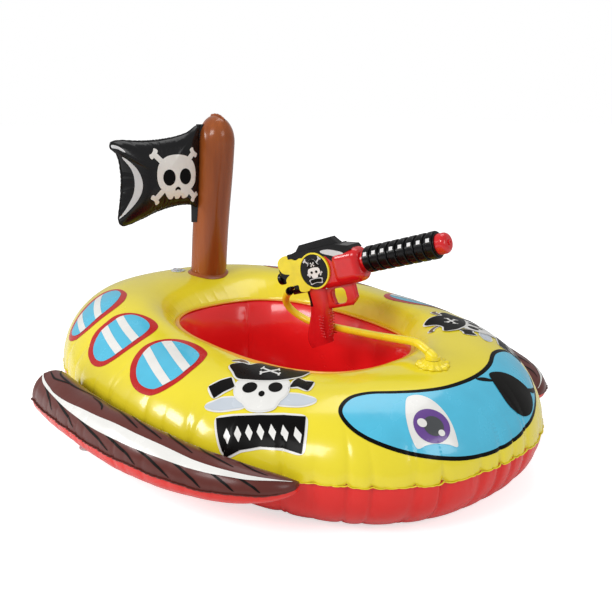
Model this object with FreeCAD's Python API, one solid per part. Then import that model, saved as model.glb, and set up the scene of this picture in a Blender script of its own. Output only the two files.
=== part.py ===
import FreeCAD, Part
import math
import os

# Inflatable toy boat with mast, flag, two side floats and a hose-fed pump squirter.
# Frame: +X towards the bow, +Z up, origin under the middle of the hull on its resting face.
# All sizes are in millimetres.

V = FreeCAD.Vector
X_AXIS = V(1, 0, 0)
Y_AXIS = V(0, 1, 0)
Z_AXIS = V(0, 0, 1)

# ---- hull ----
HALF_LENGTH = 500.0
HALF_BEAM = 331.0
BEAM_X = -35.0          # widest station of the hull
HULL_POWER = 2.33       # superellipse power of the outline
SEAM_Z = 87.0           # perimeter weld between deck and bottom panels
CREST_Z = 215.0         # top of the inflated ring
BOW_CREST_DROP = 12.0   # the ring is this much lower at the bow
CREST_INSET = 139.0     # crest's distance in from the outline
SIDE_DROP = 36.0         # the ring is pressed this much lower on its -Y side
SIDE_DROP_MID, SIDE_DROP_SPREAD = -1.15, 0.9   # where along the ring, as angles in radians
TURN_INSET = 89.0       # where the bottom becomes flat
RIM_Z = 169.0
PANEL = 3.0             # panel thickness
GAP = 0.3               # clearance between neighbouring curved faces
FLANGE_REACH = 5.0      # perimeter weld flange
FLANGE_HALF = 1.2
CURVE_POINTS = 48
LEVEL_TOLERANCE = 0.0001

# ---- cockpit ----
RIM_X = 8.0
RIM_FRONT = 262.0
RIM_REAR = 216.0
RIM_HALF = 153.0
RIM_POWER = 2.6
FLOOR_Z = 6.0

# ---- side floats ----
FLOAT_AFT_X = -165.0
FLOAT_BOW_X = 368.0
FLOAT_WIDTH = 74.0
FLOAT_HALF_HEIGHT = 43.0
FLOAT_OFFSET = 7.0      # clear of the hull's weld flange

# ---- mast and flag ----
MAST_R = 37.5
MAST_BASE = V(-313.5, 47.5, 210)
MAST_TOP = V(-293.5, 69, 532)
MAST_FLANGE_R = 43.5
FLAG_WIDTH = 194.0
FLAG_HEIGHT = 179.0
FLAG_DEPTH = 17.5       # half thickness of the flag cushion
FLAG_MID_Z = 424.0

# ---- hose fitting and water pipe ----
FITTING_X = 368.0
FITTING_R = 17.0
PIPE_R = 7.0
PIPE_BORE = 5.0

# ---- hose ----
HOSE_R = 6.5
HOSE_ROUTE = [
    V(360, 0, 214), V(344, 2, 220.5), V(325, 6, 221), V(297, 12, 216), V(260, 22, 208),
    V(215, 37, 198), V(165, 50, 189), V(115, 60, 181), V(70, 66, 175), V(33, 67, 171),
    V(4, 62, 173), V(-18, 51, 184), V(-27, 37, 201), V(-18, 27, 221), V(-0.5, 23, 233.5),
]

# ---- squirter: local frame has +X along the barrel, +Z up, origin on the barrel's axis ----
GUN_PLACE = FreeCAD.Placement(V(86.8, 44.5, 289.7), FreeCAD.Rotation(15, -17, 0))
GUN_WALL = 2.2
GUN_HALF = 17.0
REAR_X = -104.0
SPLIT_X = -46.0         # black rear cap meets the red shells
NOSE_X = 74.0
CYLINDER_R = 12.0
CYLINDER_BORE = 10.4
SLEEVE_X = 80.0
SLEEVE_LENGTH = 135.0
SLEEVE_R = 22.5
RIB_COUNT = 8
ROD_R = 4.0
ROD_BORE = 2.5
BADGE_X = -20.5
BADGE_Z = 1.0
BADGE_R = 32.0
PIPE_KNEE = V(-62, 0, 0)
NIPPLE_SHARE = 0.66     # of the way from the inlet pipe's knee to the hose's end
TRIGGER_PIVOT = V(-9, 0, -33)

# ---- valves ----
VALVE_R = 9.0
VALVE_BORE = 4.9
VALVE_FLANGE_R = 15.0
VALVE_DEPTH = 9.0
PLUG_HINGE = 14.0


def export(shape, name):
    shape.exportStep("parts/" + name + ".step")
    print(name, shape.isValid(), round(shape.Volume / 1000.0, 2), "cm3", len(shape.Solids))


# ---------------------------------------------------------------- outlines
def power_point(angle, front, rear, half, power, mid_x):
    """Point of a superellipse whose two ends differ in length."""
    c = math.cos(angle)
    s = math.sin(angle)
    reach = front if c > 0 else rear
    x = mid_x + math.copysign(reach * abs(c) ** (2.0 / power), c)
    y = math.copysign(half * abs(s) ** (2.0 / power), s)
    return x, y


def hull_point(angle, grow=0.0):
    front = HALF_LENGTH - BEAM_X + grow
    rear = HALF_LENGTH + BEAM_X + grow
    return power_point(angle, front, rear, HALF_BEAM + grow, HULL_POWER, BEAM_X)


def rim_point(angle, grow=0.0):
    return power_point(angle, RIM_FRONT + grow, RIM_REAR + grow, RIM_HALF + grow, RIM_POWER, RIM_X)


def between(angle, inset, rim_grow=0.0):
    """Point that lies inset from the hull's outline, on the line towards the cockpit rim."""
    ox, oy = hull_point(angle)
    rx, ry = rim_point(angle, rim_grow)
    span = math.hypot(rx - ox, ry - oy)
    t = inset / span
    return ox + (rx - ox) * t, oy + (ry - oy) * t, span


def crest(angle):
    """Height of the ring's crest."""
    turned = math.atan2(math.sin(angle), math.cos(angle))
    away = abs((turned - SIDE_DROP_MID) / SIDE_DROP_SPREAD)
    return CREST_Z - BOW_CREST_DROP * max(0.0, math.cos(angle)) ** 4 - SIDE_DROP * math.exp(-away ** 2.6)


def closed_curve(points):
    curve = Part.BSplineCurve()
    curve.interpolate(Points=points, PeriodicFlag=True)
    return curve.toShape()


def loop(point_of_angle):
    step = 2.0 * math.pi / CURVE_POINTS
    return closed_curve([point_of_angle((i + 0.5) * step) for i in range(CURVE_POINTS)])


def solid_of(faces):
    shell = Part.makeShell(faces)
    shell.sewShape()
    solid = Part.makeSolid(shell)
    if solid.Volume < 0:
        solid.reverse()
    return solid


def band(a, b):
    """Face between two loops: a flat ring where both lie at one height."""
    heights = [a.BoundBox.ZMin, a.BoundBox.ZMax, b.BoundBox.ZMin, b.BoundBox.ZMax]
    if max(heights) - min(heights) < LEVEL_TOLERANCE:
        return Part.makeFace([Part.Wire([a]), Part.Wire([b])], "Part::FaceMakerBullseye")
    return Part.makeRuledSurface(a, b)


def ring_solid(loops):
    """Closed ring between successive loops, the last one joined to the first."""
    pairs = zip(loops, loops[1:] + loops[:1])
    return solid_of([band(a, b) for a, b in pairs])


def capped_solid(loops):
    """Closed body between successive loops with flat first and last ends."""
    faces = [Part.makeRuledSurface(a, b) for a, b in zip(loops, loops[1:])]
    for end in (loops[0], loops[-1]):
        faces.append(Part.Face(Part.Wire([end])))
    return solid_of(faces)


# ---------------------------------------------------------------- hull
def deck_loop(turn, wall):
    """Loop on the rounded side of the deck; turn runs from 0 at the seam to 90 at the crest."""
    phi = math.radians(turn)

    def point(angle):
        inset = wall + (CREST_INSET - wall) * (1.0 - math.cos(phi))
        x, y, _ = between(angle, inset)
        return V(x, y, SEAM_Z + (crest(angle) - wall - SEAM_Z) * math.sin(phi))

    return loop(point)


def slope_loop(share, wall):
    """Loop on the deck between the crest (share 0) and the rim (share 1)."""
    def point(angle):
        _, _, span = between(angle, 0.0, PANEL + GAP)
        x, y, _ = between(angle, CREST_INSET + (span - CREST_INSET) * share, PANEL + GAP)
        top = crest(angle)
        return V(x, y, top - wall - (top - RIM_Z) * share ** 3)

    return loop(point)


def bottom_loop(turn, wall):
    phi = math.radians(turn)

    def point(angle):
        inset = wall + (TURN_INSET - wall) * (1.0 - math.cos(phi))
        x, y, _ = between(angle, inset)
        return V(x, y, SEAM_Z - (SEAM_Z - wall) * math.sin(phi))

    return loop(point)


def flat_rim_loop(grow, z):
    def point(angle):
        x, y = rim_point(angle, grow)
        return V(x, y, z)

    return loop(point)


def hull_outline_loop(grow, z):
    def point(angle):
        x, y = hull_point(angle, grow)
        return V(x, y, z)

    return loop(point)


TURNS = [0, 15, 30, 45, 60, 75, 90]
SLOPES = [0.4, 0.7, 0.9, 1.0]


def deck_panel():
    outer = [deck_loop(t, 0.0) for t in TURNS] + [slope_loop(s, 0.0) for s in SLOPES]
    inner = [deck_loop(t, PANEL) for t in TURNS] + [slope_loop(s, PANEL) for s in SLOPES]
    return ring_solid(outer + inner[::-1])


def deck_filled():
    outer = [deck_loop(t, 0.0) for t in TURNS] + [slope_loop(s, 0.0) for s in SLOPES]
    return ring_solid(outer + [flat_rim_loop(PANEL + GAP, SEAM_Z)])


def bottom_panel():
    outer = [bottom_loop(t, 0.0) for t in TURNS] + [flat_rim_loop(PANEL + GAP, 0.0)]
    inner = [bottom_loop(t, PANEL) for t in TURNS] + [flat_rim_loop(PANEL + GAP, PANEL)]
    return ring_solid(outer + inner[::-1])


def cockpit_wall():
    return ring_solid([
        flat_rim_loop(PANEL, 0.0), flat_rim_loop(PANEL, RIM_Z),
        flat_rim_loop(0.0, RIM_Z), flat_rim_loop(0.0, 0.0),
    ])


def cockpit_floor():
    return capped_solid([flat_rim_loop(-GAP, FLOOR_Z), flat_rim_loop(-GAP, FLOOR_Z + PANEL)])


def rim_weld():
    return ring_solid([
        flat_rim_loop(-0.5, RIM_Z + GAP), flat_rim_loop(PANEL, RIM_Z + GAP),
        flat_rim_loop(PANEL - 0.8, RIM_Z + 3.0), flat_rim_loop(0.3, RIM_Z + 3.0),
    ])


def hull_flange():
    return ring_solid([
        hull_outline_loop(GAP, SEAM_Z - FLANGE_HALF), hull_outline_loop(FLANGE_REACH, SEAM_Z - FLANGE_HALF),
        hull_outline_loop(FLANGE_REACH, SEAM_Z + FLANGE_HALF), hull_outline_loop(GAP, SEAM_Z + FLANGE_HALF),
    ])


# ---------------------------------------------------------------- floats
def outline_angle(x):
    """Angle at which the hull's outline passes station x on the port side."""
    reach = HALF_LENGTH - BEAM_X if x > BEAM_X else HALF_LENGTH + BEAM_X
    share = abs(x - BEAM_X) / reach
    return math.acos(math.copysign(share ** (HULL_POWER / 2.0), x - BEAM_X))


def float_station(share, side):
    """Foot on the hull's outline, outward normal, width and half height at a station."""
    x = FLOAT_AFT_X + (FLOAT_BOW_X - 3.0 - FLOAT_AFT_X) * share
    angle = outline_angle(x)
    px, py = hull_point(angle)
    ax, ay = hull_point(angle - 0.01)
    bx, by = hull_point(angle + 0.01)
    run = math.hypot(bx - ax, by - ay)
    normal = V((by - ay) / run, -(bx - ax) / run, 0)
    swell = min(1.0, 0.25 + 0.75 * math.sqrt(share / 0.04))
    width = FLOAT_WIDTH * swell * math.sqrt(1.0 - 0.97 * share ** 8)
    height = FLOAT_HALF_HEIGHT * swell * math.sqrt(1.0 - 0.97 * share ** 4)
    foot = V(px, py * side, SEAM_Z) + V(normal.x, normal.y * side, 0) * FLOAT_OFFSET
    return foot, V(normal.x, normal.y * side, 0), width, height


FLOAT_SHARES = [0.0, 0.015, 0.04, 0.2, 0.4, 0.6, 0.75, 0.86, 0.93, 0.97, 0.99, 1.0]
ARC_STEPS = [0, 25, 50, 75, 105, 130, 155, 180]


def float_section(share, side, up):
    foot, normal, width, height = float_station(share, side)
    wall = min(PANEL, 0.3 * height)
    middle = foot + normal * (width / 2.0)
    points = []
    for inner in (0.0, wall):
        arc = []
        for degrees in ARC_STEPS:
            phi = math.radians(degrees)
            reach = (width / 2.0 - inner) * math.cos(phi)
            rise = (height - inner) * math.sin(phi)
            arc.append(middle + normal * reach + Z_AXIS * (up * rise))
        points += arc if inner == 0.0 else arc[::-1]
    return Part.makePolygon(points + points[:1])


def float_panel(side, up):
    sections = [float_section(share, side, up) for share in FLOAT_SHARES]
    return Part.makeLoft(sections, True, True)


def float_flange(side):
    sections = []
    for share in FLOAT_SHARES[1:]:
        foot, normal, width, _ = float_station(share, side)
        edge = foot + normal * (width + GAP)
        reach = normal * (FLANGE_REACH * 0.8)
        low = V(0, 0, -FLANGE_HALF)
        high = V(0, 0, FLANGE_HALF)
        corners = [edge + low, edge + reach + low, edge + reach + high, edge + high]
        sections.append(Part.makePolygon(corners + corners[:1]))
    return Part.makeLoft(sections, True, True)


# ---------------------------------------------------------------- mast and flag
def mast_direction():
    return (MAST_TOP - MAST_BASE).normalize()


def mast_cylinder(radius, start, length):
    direction = mast_direction()
    return Part.makeCylinder(radius, length, MAST_BASE + direction * start, direction)


def mast_length():
    return (MAST_TOP - MAST_BASE).Length


def mast_tube(deck_mass):
    outer = mast_cylinder(MAST_R, -30.0, mast_length() + 30.0)
    inner = mast_cylinder(MAST_R - PANEL, -40.0, mast_length() + 40.0 - PANEL)
    return outer.cut(inner).cut(deck_mass)


def mast_flange(deck_mass):
    raised = deck_mass.copy()
    raised.translate(V(0, 0, 2.0))
    collar = mast_cylinder(MAST_FLANGE_R, -40.0, 80.0).cut(mast_cylinder(MAST_R + 0.2, -50.0, 100.0))
    return collar.common(raised).cut(deck_mass)


def mast_end_weld():
    """Flat folded weld that closes the top of the tube."""
    weld = Part.makeBox(1.5 * MAST_R, 6.0, 7.0, V(-0.75 * MAST_R, -3.0, 0))
    weld = weld.makeFillet(2.0, [e for e in weld.Edges if e.BoundBox.ZLength > 6.0])
    turn = FreeCAD.Rotation(Z_AXIS, mast_direction())
    weld.Placement = FreeCAD.Placement(MAST_TOP + mast_direction() * 0.2, turn)
    return weld


FLAG_INSETS = [0.0, 6.0, 20.0, 42.0]
FLAG_RISES = [0.0, 0.45, 0.8, 1.0]


def flag_loop(inset, depth, facing):
    """Rounded rectangle with drawn-in sides, in a plane across the boat."""
    x_mid = (MAST_BASE.x + MAST_TOP.x) / 2.0
    y_far = MAST_BASE.y - MAST_R * 0.55 - 10.0
    y_mid = y_far - FLAG_WIDTH / 2.0
    points = []
    count = 32
    for i in range(count):
        x, z = power_point(2.0 * math.pi * (i + 0.5) / count, 1.0, 1.0, 1.0, 6.0, 0.0)
        half_w = FLAG_WIDTH / 2.0 - inset
        half_h = FLAG_HEIGHT / 2.0 - inset
        pull = 0.06 * (1.0 - x * x) if abs(z) > 0.7 else 0.0
        droop = 12.0 * x
        points.append(V(x_mid + facing * depth, y_mid + x * half_w, FLAG_MID_Z + droop + z * half_h * (1.0 - pull)))
    return closed_curve(points)


def flag_panel(facing):
    clear = 0.25
    outer = [flag_loop(i, clear + 2.0 + (FLAG_DEPTH - 2.0) * r, facing) for i, r in zip(FLAG_INSETS, FLAG_RISES)]
    inner = [flag_loop(i + 2.5, clear + (FLAG_DEPTH - 2.0) * r, facing) for i, r in zip(FLAG_INSETS, FLAG_RISES)]
    faces = []
    for a, b in zip(outer, outer[1:]):
        faces.append(Part.makeRuledSurface(a, b))
    for a, b in zip(inner, inner[1:]):
        faces.append(Part.makeRuledSurface(a, b))
    faces.append(Part.makeRuledSurface(outer[0], inner[0]))
    faces.append(Part.Face(Part.Wire([outer[-1]])))
    faces.append(Part.Face(Part.Wire([inner[-1]])))
    return solid_of(faces)


def flag_strip():
    """Strip of vinyl that joins the flag's edge to the side of the mast."""
    x_mid = (MAST_BASE.x + MAST_TOP.x) / 2.0
    strip = Part.makeBox(3.0, 16.0, FLAG_HEIGHT + 8.0)
    strip.translate(V(x_mid - 1.5, MAST_BASE.y - MAST_R * 0.55 - 9.5, FLAG_MID_Z - FLAG_HEIGHT / 2.0))
    return strip.cut(mast_cylinder(MAST_R, -10.0, mast_length() + 20.0))


# ---------------------------------------------------------------- valves
def valve_body():
    """Valve with its mouth at the origin, facing +Z."""
    outer = Part.makeCylinder(VALVE_R, VALVE_DEPTH, V(0, 0, -VALVE_DEPTH))
    flange = Part.makeCylinder(VALVE_FLANGE_R, 1.4, V(0, 0, -2.0))
    ear = Part.makeBox(4.0, 6.0, 2.0, V(-PLUG_HINGE - 1.8, -3.0, -2.0))
    bore = Part.makeCylinder(VALVE_BORE, VALVE_DEPTH + 2.0, V(0, 0, -VALVE_DEPTH - 1.0))
    return outer.fuse([flange, ear]).cut(bore)


def valve_plug():
    """Plug seated in the valve, with a strap to its hinge line at -X."""
    stem = Part.makeCone(2.8, 4.6, 6.8, V(0, 0, -6.5))
    cap = Part.makeCylinder(7.5, 2.2, V(0, 0, 0.3))
    strap = Part.makeBox(PLUG_HINGE - 4.0, 5.0, 1.2, V(-PLUG_HINGE, -2.5, 0.3))
    knuckle = Part.makeCylinder(0.9, 6.0, V(-PLUG_HINGE, -3.0, 1.2), Y_AXIS)
    return stem.fuse([cap, strap, knuckle])


def valve_places():
    """Where each valve's mouth lies, and which way it faces."""
    hull = FreeCAD.Placement(V(-358, 0, CREST_Z + 2.2), FreeCAD.Rotation())
    up = mast_direction()
    back = (up * up.x - X_AXIS).normalize()
    mast_point = MAST_BASE + up * 70.0 + back * (MAST_R + 2.6)
    mast = FreeCAD.Placement(mast_point, FreeCAD.Rotation(Z_AXIS, back))
    places = {"hull": hull, "mast": mast}
    for name, side in (("near_float", -1), ("far_float", 1)):
        foot, normal, width, height = float_station(0.3, side)
        point = foot + normal * (width / 2.0) - Z_AXIS * (height + 2.2)
        places[name] = FreeCAD.Placement(point, FreeCAD.Rotation(X_AXIS, 180))
    return places


def placed(shape, placement):
    moved = shape.copy()
    moved.Placement = placement.multiply(moved.Placement)
    return moved


def valve_hole(placement):
    """Room for a valve's body below its flange."""
    return placed(Part.makeCylinder(VALVE_R + GAP, 60.0, V(0, 0, -58.0)), placement)


# ---------------------------------------------------------------- water pipe and fitting
def pipe(radius, z_low, z_high):
    return Part.makeCylinder(radius, z_high - z_low, V(FITTING_X, 0, z_low))


def fitting_flange(deck_mass):
    raised = deck_mass.copy()
    raised.translate(V(0, 0, 2.5))
    disc = pipe(FITTING_R, SEAM_Z + 60.0, CREST_Z + 20.0).cut(pipe(PIPE_R + 0.2, 0.0, 300.0))
    return disc.common(raised).cut(deck_mass)


def fitting_elbow():
    """Boss on the flange with an angled stub that the hose pushes on to."""
    top = CREST_Z - BOW_CREST_DROP
    boss = pipe(11.0, top + 3.0, top + 8.0)
    end = HOSE_ROUTE[0]
    lead = (HOSE_ROUTE[0] - HOSE_ROUTE[1]).normalize()
    knee = V(FITTING_X, 0, top + 7.0)
    stub = Part.makeCylinder(7.6, (end - knee).Length, knee, (end - knee).normalize())
    ball = Part.makeSphere(7.6, knee)
    beyond = Part.makeBox(60, 60, 60, V(-30, -30, 0))
    beyond.Placement = FreeCAD.Placement(end, FreeCAD.Rotation(Z_AXIS, -lead))
    skirt = pipe(30.0, top - 40.0, top + 3.0)
    return boss.fuse([stub, ball]).cut(skirt).cut(beyond)


def intake_strainer():
    body = pipe(12.0, 3.6, 8.6).cut(pipe(PIPE_R + 0.1, 5.6, 10.0))
    slots = [Part.makeBox(1.6, 16.0, 4.0, V(FITTING_X - 6.8 + 4.0 * i, -8.0, 2.6)) for i in range(4)]
    return body.cut(Part.makeCompound(slots))


# ---------------------------------------------------------------- hose
def rounded_path(points):
    """Straight runs joined by tangent arcs as large as the runs allow."""
    edges = []
    radii = []
    start = points[0]
    for before, corner, after in zip(points, points[1:], points[2:]):
        inward = corner - before
        outward = after - corner
        trim = 0.45 * min(inward.Length, outward.Length)
        turn = inward.getAngle(outward)
        radii.append(trim / math.tan(turn / 2.0))
        a = corner - inward.normalize() * trim
        b = corner + outward.normalize() * trim
        bisector = (a + b) * 0.5 - corner
        centre_gap = radii[-1] / math.cos(turn / 2.0)
        middle = corner + bisector.normalize() * (centre_gap - radii[-1])
        edges.append(Part.LineSegment(start, a).toShape())
        edges.append(Part.Arc(a, middle, b).toShape())
        start = b
    edges.append(Part.LineSegment(start, points[-1]).toShape())
    return Part.Wire(edges), radii


def hose():
    path, radii = rounded_path(HOSE_ROUTE)
    lead = (HOSE_ROUTE[1] - HOSE_ROUTE[0]).normalize()
    profile = Part.Wire([Part.makeCircle(HOSE_R, HOSE_ROUTE[0], lead)])
    body = path.makePipeShell([profile], True, True)
    runs = [(b - a).Length for a, b in zip(HOSE_ROUTE, HOSE_ROUTE[1:])]
    print("hose length", round(path.Length, 1), "radii", [round(r) for r in radii], "runs", [round(r) for r in runs])
    print("hose volume share", round(body.Volume / (math.pi * HOSE_R ** 2 * path.Length), 4))
    return body


# ---------------------------------------------------------------- squirter
def rounded_box(x0, x1, half, z0, z1, radius):
    box = Part.makeBox(x1 - x0, 2.0 * half, z1 - z0, V(x0, -half, z0))
    return box.makeFillet(radius, box.Edges)


def grip_section(x_mid, z, half_x, half_y, lean):
    points = []
    for i in range(16):
        x, y = power_point(2.0 * math.pi * i / 16, half_x, half_x, half_y, 2.8, 0.0)
        points.append(V(x_mid + x, y, z + x * lean))
    return Part.Wire([closed_curve(points)])


def grip(inset):
    sections = [
        grip_section(-34, -20, 25 - inset, 14 - inset, 0.1),
        grip_section(-35, -48, 21 - inset, 13.5 - inset, 0.1),
        grip_section(-41, -75, 22 - inset, 13.5 - inset, 0.12),
        grip_section(-52, -104, 26 - inset, 14.5 - inset, 0.15),
        grip_section(-54, -132 + inset, 21 - inset, 13.5 - inset, 0.15),
    ]
    return Part.makeLoft(sections, True, False)


def guard_ring():
    """Trigger guard: a rounded loop in front of the grip."""
    outer = rounded_box(-30, 44, 6.0, -71, -20, 5.5)
    finger = Part.makeBox(32.0, 20.0, 28.0, V(-8, -10, -65))
    finger = finger.makeFillet(9.0, [e for e in finger.Edges if e.BoundBox.YLength > 19.0])
    corner = Part.makeBox(40.0, 20.0, 30.0, V(30, -10, -100))
    corner.rotate(V(30, 0, -71), Y_AXIS, -40)
    return outer.cut([finger, corner]), finger


def receiver(inset):
    main = rounded_box(REAR_X + inset, 52, GUN_HALF - inset, -34 + inset, 36 - inset, 10)
    heel = Part.makeBox(60, 60, 60, V(REAR_X - 40, -30, -76))
    heel.rotate(V(REAR_X + 20, 0, -34), Y_AXIS, 42)
    brow = Part.makeBox(60, 60, 60, V(REAR_X - 40, -30, 26))
    brow.rotate(V(REAR_X + 10, 0, 36), Y_AXIS, -42)
    shift = 1.2 * inset
    heel.translate(V(shift, 0, shift))
    brow.translate(V(shift, 0, -shift))
    return main.cut([heel, brow])


def nose(inset):
    return rounded_box(14 + inset, NOSE_X - inset, 22.0 - inset, -34 + inset, 26 - inset, 16 - inset)


def cover_blank(grow):
    """Black top cover with its sight rail, over the top of the receiver."""
    outline = [
        V(-72, 0, 30), V(-72, 0, 38), V(-60, 0, 40.5), V(-50, 0, 50), V(20, 0, 52),
        V(34, 0, 37), V(58, 0, 31), V(62, 0, 24), V(40, 0, 17), V(24, 0, 6), V(8, 0, 22), V(-30, 0, 26),
    ]
    face = Part.Face(Part.makePolygon(outline + outline[:1]))
    half = GUN_HALF + 1.6 + grow
    solid = face.extrude(V(0, 2.0 * half, 0))
    solid.translate(V(0, -half, 0))
    top = Part.makeBox(200, 60, 40, V(-100, -30, 38.5))
    rail = Part.makeBox(200, 14 + 2 * grow, 40, V(-100, -7 - grow, 38.5))
    return solid.cut(top.cut(rail))


def gun_body(inset):
    body = receiver(inset).fuse([nose(inset), grip(inset)])
    return body


SCREWS = [V(-88, 0, 14), V(60, 0, 17), V(60, 0, -25), V(-24, 0, -22), V(-52, 0, -118)]


def screw_at(point):
    head = Part.makeCylinder(3.2, 2.0, V(point.x, 12.4, point.z), Y_AXIS)
    shank = Part.makeCylinder(1.4, 18.0, V(point.x, -5.6, point.z), Y_AXIS)
    return head.fuse(shank)


def screw_holes():
    holes = []
    for point in SCREWS:
        holes.append(Part.makeCylinder(3.4, 30.0, V(point.x, 12.3, point.z), Y_AXIS))
        holes.append(Part.makeCylinder(1.5, 19.0, V(point.x, -6.6, point.z), Y_AXIS))
    return holes


def squirter_casing():
    """The two red shells, the black rear cap and the top cover, cut from one hollow body."""
    guard, finger = guard_ring()
    outer = gun_body(0.0).fuse(guard).cut(finger)
    hollow = gun_body(GUN_WALL)
    posts = [Part.makeCylinder(4.5, 32.0, V(p.x, -16.0, p.z), Y_AXIS) for p in SCREWS]
    saddle = Part.makeBox(3.0, 60.0, 44.0, V(-36.0, -30.0, -22.0))
    keep = Part.makeCompound(posts + [saddle]).common(outer)
    cavity = hollow.cut(keep)
    slot = Part.makeBox(22.0, 9.6, 36.0, V(-24.0, -4.8, -66.5))
    barrel = Part.makeCylinder(CYLINDER_R + 0.05, 220.0, V(-48, 0, 0), X_AXIS)
    tunnel = Part.makeCylinder(5.6, 60.0, PIPE_KNEE, inlet_line())
    pin = Part.makeCylinder(1.5, 24.0, TRIGGER_PIVOT + V(0, -12, 0), Y_AXIS)
    casing = outer.cut([cavity, slot, barrel, tunnel, pin] + screw_holes())
    blank = cover_blank(0.0)
    shells = casing.cut(cover_blank(0.2))
    behind = Part.makeBox(100, 80, 200, V(SPLIT_X - 100, -40, -60))
    ahead = Part.makeBox(200, 80, 260, V(SPLIT_X + 0.2, -40, -160))
    under = Part.makeBox(101, 80, 120, V(SPLIT_X - 100, -40, -180.2))
    rear = shells.common(behind)
    front = shells.common(ahead.fuse(under))
    left = largest(front.common(Part.makeBox(400, 60, 400, V(-200, 0.05, -200))))
    right = largest(front.common(Part.makeBox(400, 60, 400, V(-200, -60.05, -200))))
    cover = blank.cut(gun_body(GUN_WALL)).cut(barrel).cut(screw_holes())
    return left, right, rear, cover


def largest(shape):
    return max(shape.Solids, key=lambda s: s.Volume)


def side_panel(side):
    """Flame-shaped yellow plate on the rear of the squirter."""
    points = [
        V(-50, 0, 27), V(-62, 0, 28), V(-72, 0, 36), V(-86, 0, 36), V(-97, 0, 27), V(-96, 0, 15),
        V(-84, 0, 5), V(-76, 0, 3), V(-85, 0, -3), V(-86, 0, -12), V(-76, 0, -18), V(-62, 0, -19),
        V(-62, 0, -27), V(-52, 0, -32), V(-40, 0, -30), V(-34, 0, -20), V(-30, 0, 10),
    ]
    curve = Part.BSplineCurve()
    curve.interpolate(Points=points, PeriodicFlag=True)
    plate = Part.Face(Part.Wire([curve.toShape()])).extrude(V(0, 1.6 * side, 0))
    plate.translate(V(0, side * (GUN_HALF + 0.1), 0))
    badge = Part.makeCylinder(BADGE_R + 0.2, 60.0, V(BADGE_X, -30, BADGE_Z), Y_AXIS)
    cover = cover_blank(0.2)
    return largest(plate.cut(badge).cut(cover))


def badge_ring(side):
    start = V(BADGE_X, side * (GUN_HALF + 0.1), BADGE_Z)
    ring = Part.makeCylinder(BADGE_R, 3.6, start, Y_AXIS * side)
    ring = ring.cut(Part.makeCylinder(BADGE_R - 2.8, 10.0, start - Y_AXIS * (side * 2.0), Y_AXIS * side))
    return ring.cut(cover_blank(0.1))


def badge_disc(side):
    start = V(BADGE_X, side * (GUN_HALF + 0.1), BADGE_Z)
    disc = Part.makeCylinder(BADGE_R - 3.0, 2.4, start, Y_AXIS * side)
    return disc.cut(cover_blank(0.1))


def rear_knob():
    grip_part = Part.makeCylinder(11.0, 9.0, V(REAR_X - 0.2, 0, -2), -X_AXIS)
    grip_part = grip_part.makeFillet(2.5, [grip_part.Edges[0], grip_part.Edges[2]])
    return grip_part


def trigger():
    blade = Part.makeBox(8.0, 8.6, 31.0, V(-11.0, -4.3, -64.0))
    blade = blade.makeFillet(2.0, [e for e in blade.Edges if e.BoundBox.ZLength > 30.0])
    boss = Part.makeCylinder(3.6, 8.6, TRIGGER_PIVOT + V(0, -4.3, 0), Y_AXIS)
    hole = Part.makeCylinder(1.55, 20.0, TRIGGER_PIVOT + V(0, -10, 0), Y_AXIS)
    scoop = Part.makeCylinder(26.0, 20.0, V(20.5, -10, -50), Y_AXIS)
    return blade.fuse(boss).cut([hole, scoop])


def trigger_pin():
    return Part.makeCylinder(1.5, 23.0, TRIGGER_PIVOT + V(0, -11.5, 0), Y_AXIS)


def trigger_spring():
    outer = Part.makeCylinder(2.6, 12.0, V(-23.6, 0, -52), X_AXIS)
    return outer.cut(Part.makeCylinder(1.8, 14.0, V(-24.6, 0, -52), X_AXIS))


def hose_end():
    """The hose's end in the squirter's frame."""
    return GUN_PLACE.inverse().multVec(HOSE_ROUTE[-1])


def inlet_line():
    return (hose_end() - PIPE_KNEE).normalize()


def hose_nipple():
    """Socket that the hose's end meets, square to the hose."""
    end = hose_end()
    lead = GUN_PLACE.inverse().Rotation.multVec(HOSE_ROUTE[-2] - HOSE_ROUTE[-1]).normalize()
    whole = (end - PIPE_KNEE).Length
    start = PIPE_KNEE + inlet_line() * (whole * NIPPLE_SHARE)
    stub = Part.makeCylinder(4.4, whole * (1.0 - NIPPLE_SHARE), start, inlet_line())
    collar = Part.makeCylinder(7.4, 5.0, end - lead * 5.0, lead)
    beyond = Part.makeBox(60, 60, 60, V(-30, -30, 0))
    beyond.Placement = FreeCAD.Placement(end, FreeCAD.Rotation(Z_AXIS, lead))
    return stub.fuse(collar).cut(beyond)


def inlet_pipe():
    knee = PIPE_KNEE
    reach = (hose_end() - knee).Length * NIPPLE_SHARE - 0.2
    outer = Part.makeCylinder(4.0, reach, knee, inlet_line())
    outer = outer.fuse([Part.makeSphere(4.0, knee), Part.makeCylinder(4.0, 13.8, knee, X_AXIS)])
    inner = Part.makeCylinder(2.6, 60.0, knee, inlet_line())
    inner = inner.fuse([Part.makeSphere(2.6, knee), Part.makeCylinder(2.6, 30.0, knee, X_AXIS)])
    return outer.cut(inner)


def pump_cylinder():
    tube = Part.makeCylinder(CYLINDER_R, 182.0, V(-34, 0, 0), X_AXIS)
    bore = Part.makeCylinder(CYLINDER_BORE, 180.0, V(-34, 0, 0), X_AXIS)
    lip = Part.makeCylinder(ROD_R + 0.1, 200.0, V(-34, 0, 0), X_AXIS)
    return tube.cut([bore, lip])


def valve_seat():
    block = Part.makeCylinder(CYLINDER_R, 13.8, V(-48, 0, 0), X_AXIS)
    throat = Part.makeCylinder(2.6, 20.0, V(-49, 0, 0), X_AXIS)
    room = Part.makeCylinder(5.5, 10.0, V(-42, 0, 0), X_AXIS)
    return block.cut([throat, room])


def inlet_ball():
    return Part.makeSphere(4.0, V(-38.7, 0, 0))


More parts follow.
